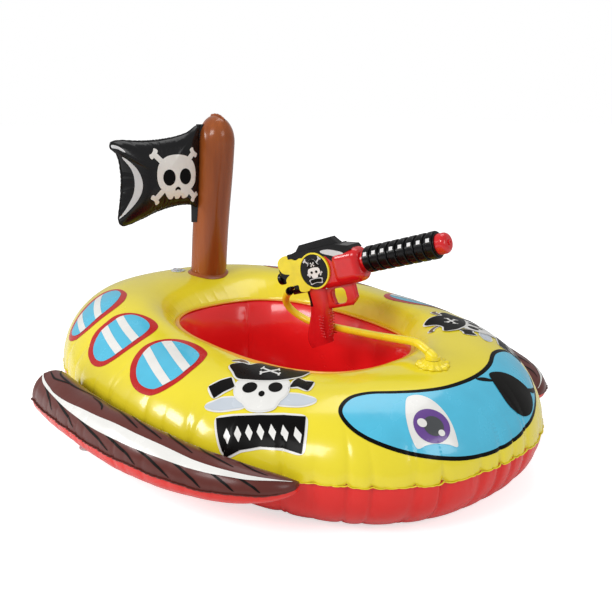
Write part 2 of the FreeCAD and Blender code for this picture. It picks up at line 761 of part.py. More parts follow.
def nose_bush():
    bush = Part.makeCylinder(16.0, 4.6, V(NOSE_X + 0.2, 0, 0), X_AXIS)
    bush = bush.makeFillet(1.5, [bush.Edges[0]])
    return bush.cut(Part.makeCylinder(CYLINDER_R + 0.05, 20.0, V(NOSE_X - 5, 0, 0), X_AXIS))


def pump_rod():
    tube = Part.makeCylinder(ROD_R, 220.0, V(-6, 0, 0), X_AXIS)
    return tube.cut(Part.makeCylinder(ROD_BORE, 240.0, V(-10, 0, 0), X_AXIS))


def piston():
    disc = Part.makeCylinder(10.1, 9.0, V(-15.2, 0, 0), X_AXIS)
    groove = Part.makeCylinder(12.0, 2.4, V(-11.9, 0, 0), X_AXIS)
    groove = groove.cut(Part.makeCylinder(8.4, 4.0, V(-12.5, 0, 0), X_AXIS))
    return disc.cut([groove, Part.makeCylinder(ROD_BORE, 30.0, V(-20, 0, 0), X_AXIS)])


def piston_ring():
    ring = Part.makeCylinder(CYLINDER_BORE - 0.05, 2.0, V(-11.7, 0, 0), X_AXIS)
    return ring.cut(Part.makeCylinder(8.45, 4.0, V(-12.5, 0, 0), X_AXIS))


def rib_middle(index):
    pitch = SLEEVE_LENGTH / RIB_COUNT
    return SLEEVE_X + pitch * (index + 0.5)


def pump_sleeve():
    pitch = SLEEVE_LENGTH / RIB_COUNT
    body = Part.makeCylinder(SLEEVE_R - 3.0, SLEEVE_LENGTH, V(SLEEVE_X, 0, 0), X_AXIS)
    for i in range(RIB_COUNT):
        rib = Part.makeCylinder(SLEEVE_R, 0.72 * pitch, V(rib_middle(i) - 0.36 * pitch, 0, 0), X_AXIS)
        rib = rib.makeFillet(2.0, [rib.Edges[0], rib.Edges[2]])
        body = body.fuse(rib)
    inside = Part.makeCylinder(16.6, SLEEVE_LENGTH, V(SLEEVE_X + 4.0, 0, 0), X_AXIS)
    lip = Part.makeCylinder(CYLINDER_R + 0.3, 20.0, V(SLEEVE_X - 5.0, 0, 0), X_AXIS)
    return body.removeSplitter().cut([inside, lip])


def sleeve_windows():
    """White square inserts, one on each rib, in a row on each side."""
    pads = []
    for side in (-1, 1):
        for i in range(RIB_COUNT):
            pad = Part.makeBox(6.4, 6.4, 1.4, V(rib_middle(i) - 3.2, -3.2, SLEEVE_R - 0.9))
            pad.rotate(V(0, 0, 0), X_AXIS, -62.0 * side)
            pads.append(pad)
    return pads


def nozzle():
    front = SLEEVE_X + SLEEVE_LENGTH
    collar = Part.makeCylinder(16.5, 12.0, V(front - 9.0, 0, 0), X_AXIS)
    dome = Part.makeCylinder(17.0, 18.0, V(front + 0.2, 0, 0), X_AXIS)
    dome = dome.makeFillet(9.0, [dome.Edges[0]])
    tip = Part.makeCylinder(5.0, 4.0, V(front + 16.0, 0, 0), X_AXIS)
    socket = Part.makeCylinder(ROD_R, 200.0, V(front - 199.0 - 0.9, 0, 0), X_AXIS)
    jet = Part.makeCylinder(1.5, 60.0, V(front - 10.0, 0, 0), X_AXIS)
    return collar.fuse([dome, tip]).cut([socket, jet])


# ---------------------------------------------------------------- assembly
def make_hull():
    deck_mass = deck_filled()
    places = valve_places()
    pipe_room = pipe(PIPE_R + GAP, -10.0, 300.0)
    export(deck_panel().cut([pipe_room, valve_hole(places["hull"])]), "hull_deck")
    export(bottom_panel().cut(pipe_room), "hull_bottom")
    export(cockpit_wall(), "cockpit_wall")
    export(cockpit_floor(), "cockpit_floor")
    export(rim_weld(), "rim_weld")
    export(hull_flange(), "hull_flange")
    export(mast_tube(deck_mass).cut(valve_hole(places["mast"])), "mast_tube")
    export(mast_flange(deck_mass), "mast_base_flange")
    export(mast_end_weld(), "mast_end_weld")
    export(flag_panel(1.0), "flag_front_panel")
    export(flag_panel(-1.0), "flag_back_panel")
    export(flag_strip(), "flag_strip")
    export(fitting_flange(deck_mass), "hose_fitting_flange")
    export(fitting_elbow(), "hose_fitting_elbow")
    export(pipe(PIPE_R, 5.7, CREST_Z - BOW_CREST_DROP + 2.9).cut(pipe(PIPE_BORE, 0.0, 300.0)), "water_pipe")
    export(intake_strainer(), "intake_strainer")
    export(hose(), "supply_hose")
    for name, side in (("near_float", -1), ("far_float", 1)):
        export(float_panel(side, 1.0), name + "_top")
        export(float_panel(side, -1.0).cut(valve_hole(places[name])), name + "_bottom")
        export(float_flange(side), name + "_flange")
    for name, place in places.items():
        export(placed(valve_body(), place), name + "_valve")
        export(placed(valve_plug(), place), name + "_plug")


def make_squirter():
    left, right, rear, cover = squirter_casing()
    pieces = {
        "gun_left_shell": left,
        "gun_right_shell": right,
        "gun_rear_cap": rear,
        "gun_top_cover": cover,
        "gun_rear_knob": rear_knob(),
        "trigger": trigger(),
        "trigger_pin": trigger_pin(),
        "trigger_spring": trigger_spring(),
        "hose_nipple": hose_nipple(),
        "inlet_pipe": inlet_pipe(),
        "pump_cylinder": pump_cylinder(),
        "inlet_valve_seat": valve_seat(),
        "inlet_valve_ball": inlet_ball(),
        "nose_bush": nose_bush(),
        "pump_rod": pump_rod(),
        "piston": piston(),
        "piston_ring": piston_ring(),
        "pump_sleeve": pump_sleeve().cut(sleeve_windows()),
        "sleeve_windows": Part.makeCompound(sleeve_windows()),
        "nozzle": nozzle(),
        "gun_screws": Part.makeCompound([screw_at(point) for point in SCREWS]),
    }
    for name, side in (("left", 1), ("right", -1)):
        pieces["side_panel_" + name] = side_panel(side)
        pieces["badge_ring_" + name] = badge_ring(side)
        pieces["badge_disc_" + name] = badge_disc(side)
    for name, shape in pieces.items():
        export(placed(shape, GUN_PLACE), name)


os.makedirs("parts", exist_ok=True)
make_hull()
make_squirter()
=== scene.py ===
import math

import bpy
import numpy as np
from mathutils import Matrix, Vector
from mathutils.bvhtree import BVHTree
from mathutils.geometry import delaunay_2d_cdt


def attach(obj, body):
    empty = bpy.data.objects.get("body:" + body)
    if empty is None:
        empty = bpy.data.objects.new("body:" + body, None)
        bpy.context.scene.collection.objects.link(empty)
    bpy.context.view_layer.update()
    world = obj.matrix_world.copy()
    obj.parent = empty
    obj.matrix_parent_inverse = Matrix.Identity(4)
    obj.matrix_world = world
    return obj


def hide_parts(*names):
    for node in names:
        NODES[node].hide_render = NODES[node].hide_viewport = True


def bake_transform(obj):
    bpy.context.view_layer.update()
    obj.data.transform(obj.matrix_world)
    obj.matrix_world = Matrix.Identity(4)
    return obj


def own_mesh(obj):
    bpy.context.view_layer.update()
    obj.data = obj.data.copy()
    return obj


# Inflatable toy boat. Lengths in this file are in millimetres in the row frame unless a name
# ends in _M, and every mesh is scaled to metres when it is made.

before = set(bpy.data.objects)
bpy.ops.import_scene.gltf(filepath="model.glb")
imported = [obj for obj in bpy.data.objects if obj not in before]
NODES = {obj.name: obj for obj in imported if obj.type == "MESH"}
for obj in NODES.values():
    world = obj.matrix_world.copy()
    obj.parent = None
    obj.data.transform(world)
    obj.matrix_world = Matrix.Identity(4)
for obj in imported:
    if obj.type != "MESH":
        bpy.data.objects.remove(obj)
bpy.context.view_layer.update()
MM = 0.001

# ---- sizes shared with the CAD part ----
HALF_LENGTH, HALF_BEAM, BEAM_X, HULL_POWER = 500.0, 331.0, -35.0, 2.33
SEAM_Z, CREST_Z, BOW_CREST_DROP, CREST_INSET, TURN_INSET = 87.0, 215.0, 12.0, 139.0, 89.0
SIDE_DROP, SIDE_DROP_MID, SIDE_DROP_SPREAD = 36.0, -1.15, 0.9
RIM_Z, RIM_X, RIM_FRONT, RIM_REAR, RIM_HALF, RIM_POWER = 169.0, 8.0, 262.0, 216.0, 153.0, 2.6
FLOOR_Z = 9.0
FLOAT_AFT_X, FLOAT_BOW_X, FLOAT_WIDTH, FLOAT_HEIGHT, FLOAT_OFFSET = -165.0, 365.0, 74.0, 43.0, 7.0
MAST_R = 37.5
MAST_BASE, MAST_TOP = np.array([-313.5, 47.5, 210]), np.array([-293.5, 69, 532])
DECK_ARC = 210.0       # length of the deck's rounded side, from the seam to the crest
BOTTOM_ARC = 138.0     # length of the bottom's rounded side, from the seam to the flat
HOSE_RADIUS = 6.5
HOSE_ROUTE_M = [
    (0.360, 0.000, 0.2140), (0.344, 0.002, 0.2205), (0.325, 0.006, 0.2210), (0.297, 0.012, 0.2160),
    (0.260, 0.022, 0.2080), (0.215, 0.037, 0.1980), (0.165, 0.050, 0.1890), (0.115, 0.060, 0.1810),
    (0.070, 0.066, 0.1750), (0.033, 0.067, 0.1710), (0.004, 0.062, 0.1730), (-0.018, 0.051, 0.1840),
    (-0.027, 0.037, 0.2010), (-0.018, 0.027, 0.2210), (-0.0005, 0.023, 0.2335),
]


# ------------------------------------------------------------------ materials
def material(name, colour, roughness=0.2, coat=0.0, shine=0.5, mottle=0.06, mottle_scale=9.0, grain_scale=900.0,
             grain=0.06, metallic=0.0, subsurface=0.0, transmission=0.0, stretch=(1, 1, 1), dark=None):
    """Procedural plastic, vinyl or metal: mottled colour, uneven gloss and a fine moulded surface."""
    mat = bpy.data.materials.new(name)
    mat.use_nodes = True
    nodes, links = mat.node_tree.nodes, mat.node_tree.links
    shader = nodes["Principled BSDF"]
    place = nodes.new("ShaderNodeTexCoord")
    mapping = nodes.new("ShaderNodeMapping")
    mapping.inputs["Scale"].default_value = stretch
    links.new(place.outputs["Object"], mapping.inputs["Vector"])
    cloud = nodes.new("ShaderNodeTexNoise")
    cloud.inputs["Scale"].default_value = mottle_scale
    cloud.inputs["Detail"].default_value = 4.0
    links.new(mapping.outputs["Vector"], cloud.inputs["Vector"])
    ramp = nodes.new("ShaderNodeValToRGB")
    low = dark or tuple(c * (1.0 - 2.2 * mottle) for c in colour)
    ramp.color_ramp.elements[0].position = 0.3
    ramp.color_ramp.elements[0].color = (*low, 1.0)
    ramp.color_ramp.elements[1].position = 0.62
    ramp.color_ramp.elements[1].color = (*colour, 1.0)
    links.new(cloud.outputs["Fac"], ramp.inputs["Fac"])
    links.new(ramp.outputs["Color"], shader.inputs["Base Color"])
    gloss = nodes.new("ShaderNodeMapRange")
    gloss.inputs["From Min"].default_value = 0.3
    gloss.inputs["From Max"].default_value = 0.7
    gloss.inputs["To Min"].default_value = max(0.02, roughness - 0.05)
    gloss.inputs["To Max"].default_value = roughness + 0.06
    links.new(cloud.outputs["Fac"], gloss.inputs["Value"])
    links.new(gloss.outputs["Result"], shader.inputs["Roughness"])
    fine = nodes.new("ShaderNodeTexNoise")
    fine.inputs["Scale"].default_value = grain_scale
    fine.inputs["Detail"].default_value = 2.0
    links.new(mapping.outputs["Vector"], fine.inputs["Vector"])
    bump = nodes.new("ShaderNodeBump")
    bump.inputs["Strength"].default_value = grain
    bump.inputs["Distance"].default_value = 0.0004
    links.new(fine.outputs["Fac"], bump.inputs["Height"])
    links.new(bump.outputs["Normal"], shader.inputs["Normal"])
    shader.inputs["Metallic"].default_value = metallic
    shader.inputs["Specular IOR Level"].default_value = shine
    shader.inputs["Coat Weight"].default_value = coat
    shader.inputs["Coat Roughness"].default_value = 0.06
    shader.inputs["Subsurface Weight"].default_value = subsurface
    shader.inputs["Subsurface Scale"].default_value = 0.004
    shader.inputs["Transmission Weight"].default_value = transmission
    return mat


YELLOW = (0.84, 0.70, 0.022)
RED = (0.76, 0.020, 0.016)
FILM = dict(roughness=0.22, coat=0.35, mottle=0.035, mottle_scale=7.0, grain_scale=450.0, grain=0.05)
PRINT = dict(roughness=0.24, coat=0.3, mottle=0.03, mottle_scale=30.0, grain_scale=500.0, grain=0.05)
MOULD = dict(roughness=0.2, coat=0.25, mottle=0.05, mottle_scale=60.0, grain_scale=1500.0, grain=0.08)
DULL = dict(shine=0.12, coat=0.02, roughness=0.3)
MAT = {
    "film_yellow": material("film_yellow", YELLOW, **FILM),
    "film_red": material("film_red", RED, **{**FILM, "shine": 0.35, "coat": 0.15}),
    "film_liner": material("film_liner", (0.82, 0.014, 0.016), **FILM),
    "film_underside": material("film_underside", (0.80, 0.030, 0.022), **{**FILM, "shine": 0.35, "coat": 0.15}),
    "film_brown": material("film_brown", (0.115, 0.024, 0.018), **{**FILM, **DULL, "shine": 0.3, "coat": 0.1}),
    "film_mast": material("film_mast", (0.34, 0.085, 0.016), stretch=(6, 6, 0.5), dark=(0.22, 0.05, 0.01),
                          **{**FILM, "mottle_scale": 6.0, "shine": 0.4, "coat": 0.15}),
    "film_black": material("film_black", (0.005, 0.005, 0.006), **{**FILM, **DULL, "shine": 0.35, "roughness": 0.18}),
    "weld": material("weld", (0.80, 0.34, 0.015), **FILM),
    "print_white": material("print_white", (0.80, 0.79, 0.76), **PRINT),
    "print_black": material("print_black", (0.0035, 0.003, 0.003), **{**PRINT, **DULL, "shine": 0.07}),
    "print_ink": material("print_ink", (0.004, 0.0035, 0.003), **{**PRINT, **DULL, "roughness": 0.4, "coat": 0.0}),
    "print_blue": material("print_blue", (0.075, 0.50, 0.72), **PRINT),
    "print_red": material("print_red", (0.50, 0.008, 0.008), **{**PRINT, "shine": 0.3, "coat": 0.12}),
    "print_grey": material("print_grey", (0.55, 0.60, 0.66), **PRINT),
    # Silver print on the squirter's badge and cover; the same grey also paints the highlights on the flag.
    "silver_print_and_highlight": material("silver_print_and_highlight", (0.62, 0.63, 0.64), **PRINT),
    "print_brown": material("print_brown", (0.16, 0.10, 0.06), **{**PRINT, **DULL}),
    "print_purple": material("print_purple", (0.13, 0.05, 0.27), **PRINT),
    "print_pupil": material("print_pupil", (0.055, 0.06, 0.065), **PRINT),
    "hose": material("hose", (0.95, 0.74, 0.018), **{**FILM, "roughness": 0.3, "subsurface": 0.15}),
    "fitting": material("fitting", (0.93, 0.74, 0.018), **MOULD),
    "clear": material("clear", (0.80, 0.82, 0.84), **{**MOULD, "subsurface": 0.2, "transmission": 0.35}),
    "pipe": material("pipe", (0.72, 0.72, 0.70), **MOULD),
    "gun_red": material("gun_red", (0.68, 0.010, 0.014), **MOULD),
    "gun_black": material("gun_black", (0.0035, 0.0035, 0.004), **{**MOULD, "shine": 0.22, "coat": 0.03}),
    "gun_yellow": material("gun_yellow", (0.88, 0.74, 0.012), **MOULD),
    "gun_white": material("gun_white", (0.80, 0.80, 0.80), **MOULD),
    "steel": material("steel", (0.55, 0.55, 0.56), roughness=0.28, metallic=1.0, mottle_scale=200.0,
                      grain_scale=3000.0, grain=0.1),
    "rubber": material("rubber", (0.02, 0.02, 0.02), roughness=0.6, mottle_scale=80.0, grain=0.2),
}


# ------------------------------------------------------------------ mesh building
def finish_piece(name, mesh, mat, body="boat", replaces=(), smooth=True):
    mesh.materials.append(MAT[mat])
    if smooth:
        mesh.shade_smooth()
    obj = bpy.data.objects.new(name, mesh)
    bpy.context.scene.collection.objects.link(obj)
    if body:
        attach(obj, body)
    if replaces:
        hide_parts(*replaces)
    return obj


def grid_mesh(name, points, wrap_u=False, wrap_v=False, flip=False):
    """Mesh of a grid of points, rows along the first index."""
    nu, nv = points.shape[:2]
    rows = np.arange(nu if wrap_u else nu - 1)
    cols = np.arange(nv if wrap_v else nv - 1)
    i, j = np.meshgrid(rows, cols, indexing="ij")
    i2, j2 = (i + 1) % nu, (j + 1) % nv
    quads = np.stack([i * nv + j, i2 * nv + j, i2 * nv + j2, i * nv + j2], -1).reshape(-1, 4)
    if flip:
        quads = quads[:, ::-1]
    mesh = bpy.data.meshes.new(name)
    mesh.from_pydata((points.reshape(-1, 3) * MM).tolist(), [], quads.tolist())
    return mesh


def film(obj, thickness=0.8):
    """Gives a sheet the thickness of its film, inwards."""
    solid = obj.modifiers.new("film", "SOLIDIFY")
    solid.thickness = thickness * MM
    solid.offset = -1.0
    return obj


def tube(name, path, radii, sides=20, caps=True):
    """Round mesh tube along a path, with one radius or one for each point."""
    path = np.asarray(path, float)
    radii = np.broadcast_to(np.asarray(radii, float), (len(path),))
    tangents = np.gradient(path, axis=0)
    tangents /= np.linalg.norm(tangents, axis=1)[:, None]
    side = np.cross(tangents[0], [0.3, 0.2, 1.0])
    rings = []
    for point, tangent, radius in zip(path, tangents, radii):
        side = side - tangent * (side @ tangent)
        side /= np.linalg.norm(side)
        other = np.cross(tangent, side)
        turn = np.linspace(0, 2 * math.pi, sides, endpoint=False)[:, None]
        rings.append(point + radius * (np.cos(turn) * side + np.sin(turn) * other))
    if caps:
        rings = [np.repeat(path[:1], sides, 0)] + rings + [np.repeat(path[-1:], sides, 0)]
    mesh = grid_mesh(name, np.array(rings), wrap_v=True, flip=True)
    mesh.validate()
    return mesh


def smooth_closed(points, steps=8):
    """Closed smooth curve through the points."""
    p = np.asarray(points, float)
    out = []
    t = np.linspace(0, 1, steps, endpoint=False)[:, None]
    for a, b, c, d in zip(np.roll(p, 1, 0), p, np.roll(p, -1, 0), np.roll(p, -2, 0)):
        out.append(0.5 * (2 * b + (c - a) * t + (2 * a - 5 * b + 4 * c - d) * t ** 2
                          + (3 * b - a - 3 * c + d) * t ** 3))
    return np.concatenate(out)


def resample(outline, step):
    """Closed outline with points about a step apart."""
    closed = np.vstack([outline, outline[:1]])
    run = np.concatenate([[0], np.cumsum(np.linalg.norm(np.diff(closed, axis=0), axis=1))])
    count = max(8, int(run[-1] / step))
    at = np.linspace(0, run[-1], count, endpoint=False)
    return np.stack([np.interp(at, run, closed[:, 0]), np.interp(at, run, closed[:, 1])], -1)


def filled(outlines, step):
    """Triangles inside closed 2-D outlines, with inner points about a step apart."""
    points, edges = [], []
    for outline in outlines:
        ring = resample(np.asarray(outline, float), step * 0.5)
        start = len(points)
        points += ring.tolist()
        edges += [(start + i, start + (i + 1) % len(ring)) for i in range(len(ring))]
    lo, hi = np.min(points, 0), np.max(points, 0)
    boundary = np.array(points)
    for row, y in enumerate(np.arange(lo[1] + step * 0.5, hi[1], step * 0.87)):
        for x in np.arange(lo[0] + step * (0.25 + 0.5 * (row % 2)), hi[0], step):
            if np.min(np.hypot(boundary[:, 0] - x, boundary[:, 1] - y)) > step * 0.35:
                points.append([x, y])
    verts, _, faces, *_ = delaunay_2d_cdt([Vector(p) for p in points], edges, [], 2 if len(outlines) > 1 else 1, 1e-4)
    return np.array([list(v) for v in verts]), faces


def decal(name, surface, outlines, mat, layer=0, step=3.6, body="boat", lift=0.45):
    """Thin printed area laid on a surface; surface maps 2-D points to points and normals."""
    flat, faces = filled(outlines if isinstance(outlines, list) else [outlines], step)
    points, normals = surface(flat[:, 0], flat[:, 1])
    raised = points + normals * (lift + 0.34 * layer)
    mesh = bpy.data.meshes.new(name)
    a, b, c = faces[0][:3]
    if np.dot(np.cross(raised[b] - raised[a], raised[c] - raised[a]), normals[a]) < 0:
        faces = [f[::-1] for f in faces]
    mesh.from_pydata((raised * MM).tolist(), [], faces)
    mesh.shade_smooth()
    mesh.normals_split_custom_set_from_vertices([Vector(n) for n in normals])
    return finish_piece(name, mesh, mat, body=body, smooth=False)


def surface_of(points_at, outward):
    """Wraps a point function of two coordinates so that it gives outward unit normals as well."""
    def both(u, w):
        here = points_at(u, w)
        along = points_at(u + 0.6, w) - points_at(u - 0.6, w)
        across = points_at(u, w + 0.6) - points_at(u, w - 0.6)
        normal = np.cross(along, across) * outward
        return here, normal / np.maximum(np.linalg.norm(normal, axis=-1, keepdims=True), 1e-9)
    return both


# ------------------------------------------------------------------ outlines of hull and cockpit
def power_curve(angle, front, rear, half, power, mid):
    c, s = np.cos(angle), np.sin(angle)
    reach = np.where(c > 0, front, rear)
    x = mid + np.sign(c) * reach * np.abs(c) ** (2.0 / power)
    return x, np.sign(s) * half * np.abs(s) ** (2.0 / power)


def hull_curve(angle):
    return power_curve(angle, HALF_LENGTH - BEAM_X, HALF_LENGTH + BEAM_X, HALF_BEAM, HULL_POWER, BEAM_X)


def rim_curve(angle, grow=0.0):
    return power_curve(angle, RIM_FRONT + grow, RIM_REAR + grow, RIM_HALF + grow, RIM_POWER, RIM_X)


def arc_table(curve):
    """Angles against arc length from the bow, and the whole length."""
    angles = np.linspace(-math.pi, math.pi, 40001)
    x, y = curve(angles)
    run = np.concatenate([[0], np.cumsum(np.hypot(np.diff(x), np.diff(y)))])
    return run - run[20000], angles, run[-1]


HULL_RUN, HULL_ANGLES, HULL_GIRTH = arc_table(hull_curve)
RIM_RUN, RIM_ANGLES, RIM_GIRTH = arc_table(rim_curve)
WAVE = 2 * math.pi / HULL_GIRTH


def hull_angle(a):
    a = (np.asarray(a, float) + HULL_GIRTH / 2) % HULL_GIRTH - HULL_GIRTH / 2
    return np.interp(a, HULL_RUN, HULL_ANGLES)


class Creases:
    """Creases across a weld, unevenly spaced, with the film swelling up between them."""

    def __init__(self, seed, girth, low, high, depth, reach, wander=2.0):
        rng = np.random.default_rng(seed)
        gaps = rng.uniform(low, high, int(2 * girth / (low + high)))
        self.at = np.cumsum(gaps) * girth / gaps.sum()
        count = len(self.at)
        self.girth = girth
        self.depth = depth * rng.uniform(0.35, 1.0, count)
        self.reach = reach * rng.uniform(0.45, 1.15, count)
        self.wander = wander * rng.uniform(-1, 1, count)

    def weight(self, a, d):
        """How near each point is to its crease, from 0 to 1, and which crease that is."""
        a = np.mod(a, self.girth)
        edges = np.concatenate([[0], self.at])
        phase = np.interp(a, edges, np.arange(len(edges)))
        phase = phase + self.wander[np.minimum(phase.astype(int), len(self.at) - 1)] * d / 900.0
        near = np.round(phase)
        share = 1.0 - 2.0 * np.abs(phase - near)
        return np.clip(share, 0, 1), near.astype(int) % len(self.at)

    def drop(self, a, d):
        share, which = self.weight(a, d)
        fade = np.exp(-(np.maximum(d, 0) / self.reach[which]) ** 1.4)
        return self.depth[which] * (0.35 * share ** 2 + 0.65 * share ** 5) * fade


SEAM_FOLDS = Creases(3, HULL_GIRTH, 26, 70, 7.6, 70.0, 3.0)
SEAM_PUCKERS = Creases(5, HULL_GIRTH, 9, 24, 1.1, 15.0)
RIM_PUCKERS = Creases(8, HULL_GIRTH, 26, 60, 0.9, 26.0)


def seam_shift(a):
    """How far the perimeter weld is drawn in, and how far it rides up, at each place."""
    fold, which = SEAM_FOLDS.weight(a, 0.0)
    pucker, _ = SEAM_PUCKERS.weight(a, 0.0)
    size = SEAM_FOLDS.depth[which] / 7.6
    drawn = 2.2 * size * fold ** 4 + 0.7 * pucker ** 3
    rise = 3.2 * size * fold ** 6 + 0.5 * pucker ** 3 + 1.1 * np.sin(7 * WAVE * a) * np.sin(19 * WAVE * a)
    return drawn, rise


def swell(a, d):
    """Slow unevenness of blown-up film."""
    return 0.9 * np.sin(4 * WAVE * a + 0.7 * np.sin(d / 40.0)) * np.sin(d / 66.0 + 2 * WAVE * a)


def ring_point(a, d, arc, turn_inset, top_of, dent):
    """Point on the hull's ring at distance d from the perimeter weld."""
    a, d = np.broadcast_arrays(np.asarray(a, float), np.asarray(d, float))
    angle = hull_angle(a)
    ox, oy = hull_curve(angle)
    rx, ry = rim_curve(angle, 3.3)
    span = np.hypot(rx - ox, ry - oy)
    top = top_of(angle)
    phi = np.clip(d / arc, 0, 1) * math.pi / 2
    beyond = np.clip((d - arc) / (span - turn_inset), 0, 1)
    inset = turn_inset * (1 - np.cos(phi)) + (span - turn_inset) * beyond
    drawn, rise = seam_shift(a)
    near = np.exp(-np.maximum(d, 0) / 9.0)
    fold = dent(a, d, span)
    inset = inset + fold * np.cos(phi) + drawn * near
    z = SEAM_Z + (top - SEAM_Z) * np.sin(phi) + rise * near
    z = z - np.sign(top - SEAM_Z) * fold * np.sin(phi)
    z = z - np.where(top > SEAM_Z, (top - RIM_Z) * beyond ** 3, 0.0)
    share = inset / span
    return np.stack([ox + (rx - ox) * share, oy + (ry - oy) * share, z], -1)


def deck_top(angle):
    """Height of the ring's crest; the ring is pressed lower on its -Y side."""
    away = np.abs((angle - SIDE_DROP_MID) / SIDE_DROP_SPREAD)
    return CREST_Z - BOW_CREST_DROP * np.maximum(0.0, np.cos(angle)) ** 4 - SIDE_DROP * np.exp(-away ** 2.6)


def deck_dent(a, d, span):
    to_rim = DECK_ARC + span - CREST_INSET - d
    out = 0.8 * SEAM_FOLDS.drop(a, d * 1.1) + SEAM_PUCKERS.drop(a, d) + swell(a, d) * np.clip(d / 40, 0, 1)
    return out + RIM_PUCKERS.drop(a, to_rim)


def bottom_dent(a, d, span):
    fade = np.clip((BOTTOM_ARC - d) / 40, 0, 1)
    return (1.1 * SEAM_FOLDS.drop(a, d * 0.5) + 0.8 * SEAM_PUCKERS.drop(a, d) + swell(a, d + 50)) * fade


def deck_point(a, d):
    return ring_point(a, d, DECK_ARC, CREST_INSET, deck_top, deck_dent)


def bottom_point(a, d):
    return ring_point(a, d, BOTTOM_ARC, TURN_INSET, lambda angle: 0.0 * angle, bottom_dent)


deck_surface = surface_of(deck_point, 1.0)


def deck_span(a):
    angle = hull_angle(a)
    ox, oy = hull_curve(angle)
    rx, ry = rim_curve(angle, 3.3)
    return np.hypot(rx - ox, ry - oy)


# ------------------------------------------------------------------ hull
COLUMNS = 900
around = np.linspace(0, HULL_GIRTH, COLUMNS, endpoint=False)


def ring_rows(arc, inner, near_step):
    """Distances from the weld: close together near it, and shares of the way on to the rim."""
    close = [0, near_step, 2 * near_step, 3.4 * near_step, 5 * near_step]
    rest = np.linspace(7 * near_step, arc, 26)
    return np.array(close + list(rest)), np.linspace(0, 1, inner)[1:]


def ring_grid(point, arc, turn_inset, inner):
    rows, shares = ring_rows(arc, inner, 1.6)
    first = point(around[:, None], rows[None, :])
    span = deck_span(around)[:, None]
    second = point(around[:, None], arc + (span - turn_inset) * shares[None, :])
    return np.concatenate([first, second], 1)


deck_grid = ring_grid(deck_point, DECK_ARC, CREST_INSET, 20)
bottom_grid = ring_grid(bottom_point, BOTTOM_ARC, TURN_INSET, 8)
film(finish_piece("deck_film", grid_mesh("deck_film", deck_grid, wrap_u=True), "film_yellow",
                  replaces=["hull_deck"]))
film(finish_piece("bottom_film", grid_mesh("bottom_film", bottom_grid, wrap_u=True, flip=True), "film_red",
                  replaces=["hull_bottom"]))


def weld_flange(name, inner, outward, reach, half, mat, slot, replaces, closed=True):
    """Thin welded edge that stands out from a seam."""
    section = [(-1.0, half), (reach * 0.8, half), (reach, 0.0), (reach * 0.8, -half), (-1.0, -half)]
    grid = np.stack([inner + outward * r + np.array([0, 0, h]) for r, h in section], 1)
    return finish_piece(name, grid_mesh(name, grid, wrap_u=closed, wrap_v=True, flip=True), mat,
                        replaces=replaces)


def hull_weld():
    drawn, rise = seam_shift(around)
    angle = hull_angle(around)
    ox, oy = hull_curve(angle)
    step = np.stack([np.roll(ox, -1) - np.roll(ox, 1), np.roll(oy, -1) - np.roll(oy, 1)], -1)
    step /= np.linalg.norm(step, axis=1)[:, None]
    outward = np.stack([step[:, 1], -step[:, 0], 0 * ox], -1)
    base = np.stack([ox, oy, SEAM_Z + rise], -1) - outward * drawn[:, None]
    pucker, _ = SEAM_PUCKERS.weight(around, 0.0)
    reach = 1.9 - 0.6 * pucker ** 3
    section = [(-1.0, 0.5), (0.8, 0.45), (1.0, 0.0), (0.8, -0.45), (-1.0, -0.5)]
    grid = np.stack([base + outward * (reach[:, None] * r if r > 0 else r) + np.array([0, 0, h])
                     for r, h in section], 1)
    return finish_piece("hull_seam_flange", grid_mesh("hull_seam_flange", grid, wrap_u=True, wrap_v=True, flip=True),
                        "film_yellow", replaces=["hull_flange"])


hull_weld()

# ------------------------------------------------------------------ cockpit liner
LINER_COLUMNS = 560
liner_run = np.linspace(0, RIM_GIRTH, LINER_COLUMNS, endpoint=False)
LINER_FOLDS = Creases(12, RIM_GIRTH, 40, 110, 1.6, 34.0)
LINER_SEAM_RUN = 585.0


def rim_at(run, grow=0.0):
    """Point of the cockpit's outline moved outwards by grow."""
    run = (np.asarray(run, float) + RIM_GIRTH / 2) % RIM_GIRTH - RIM_GIRTH / 2
    angle = np.interp(run, RIM_RUN, RIM_ANGLES)
    x, y = rim_curve(angle)
    ax, ay = rim_curve(angle - 0.004)
    bx, by = rim_curve(angle + 0.004)
    length = np.maximum(np.hypot(bx - ax, by - ay), 1e-9)
    return x + (by - ay) / length * grow, y - (bx - ax) / length * grow


def liner_point(run, share):
    """Liner wall; share runs from the rim down to the floor, and the wall bulges into the cockpit."""
    run, share = np.broadcast_arrays(np.asarray(run, float), np.asarray(share, float))
    depth = (RIM_Z - 1.0) * share
    bulge = 23.0 * np.sin(math.pi * np.clip(share, 0, 1)) ** 0.75
    folds = LINER_FOLDS.drop(run, depth) + 1.3 * LINER_FOLDS.drop(run + 31, RIM_Z - depth)
    slow = 0.8 * np.sin(run / 83.0) * np.sin(depth / 39.0)
    gap = np.abs((run - LINER_SEAM_RUN + RIM_GIRTH / 2) % RIM_GIRTH - RIM_GIRTH / 2)
    seam = 1.8 * np.exp(-(gap / 2.2) ** 2)
    x, y = rim_at(run, 1.5 - bulge + folds + slow + seam)
    return np.stack([x, y, RIM_Z + 1.0 - depth], -1)


liner_grid = liner_point(liner_run[:, None], np.linspace(0, 1, 30)[None, :])
film(finish_piece("liner_film", grid_mesh("liner_film", liner_grid, wrap_u=True), "film_liner",
                  replaces=["cockpit_wall"]))


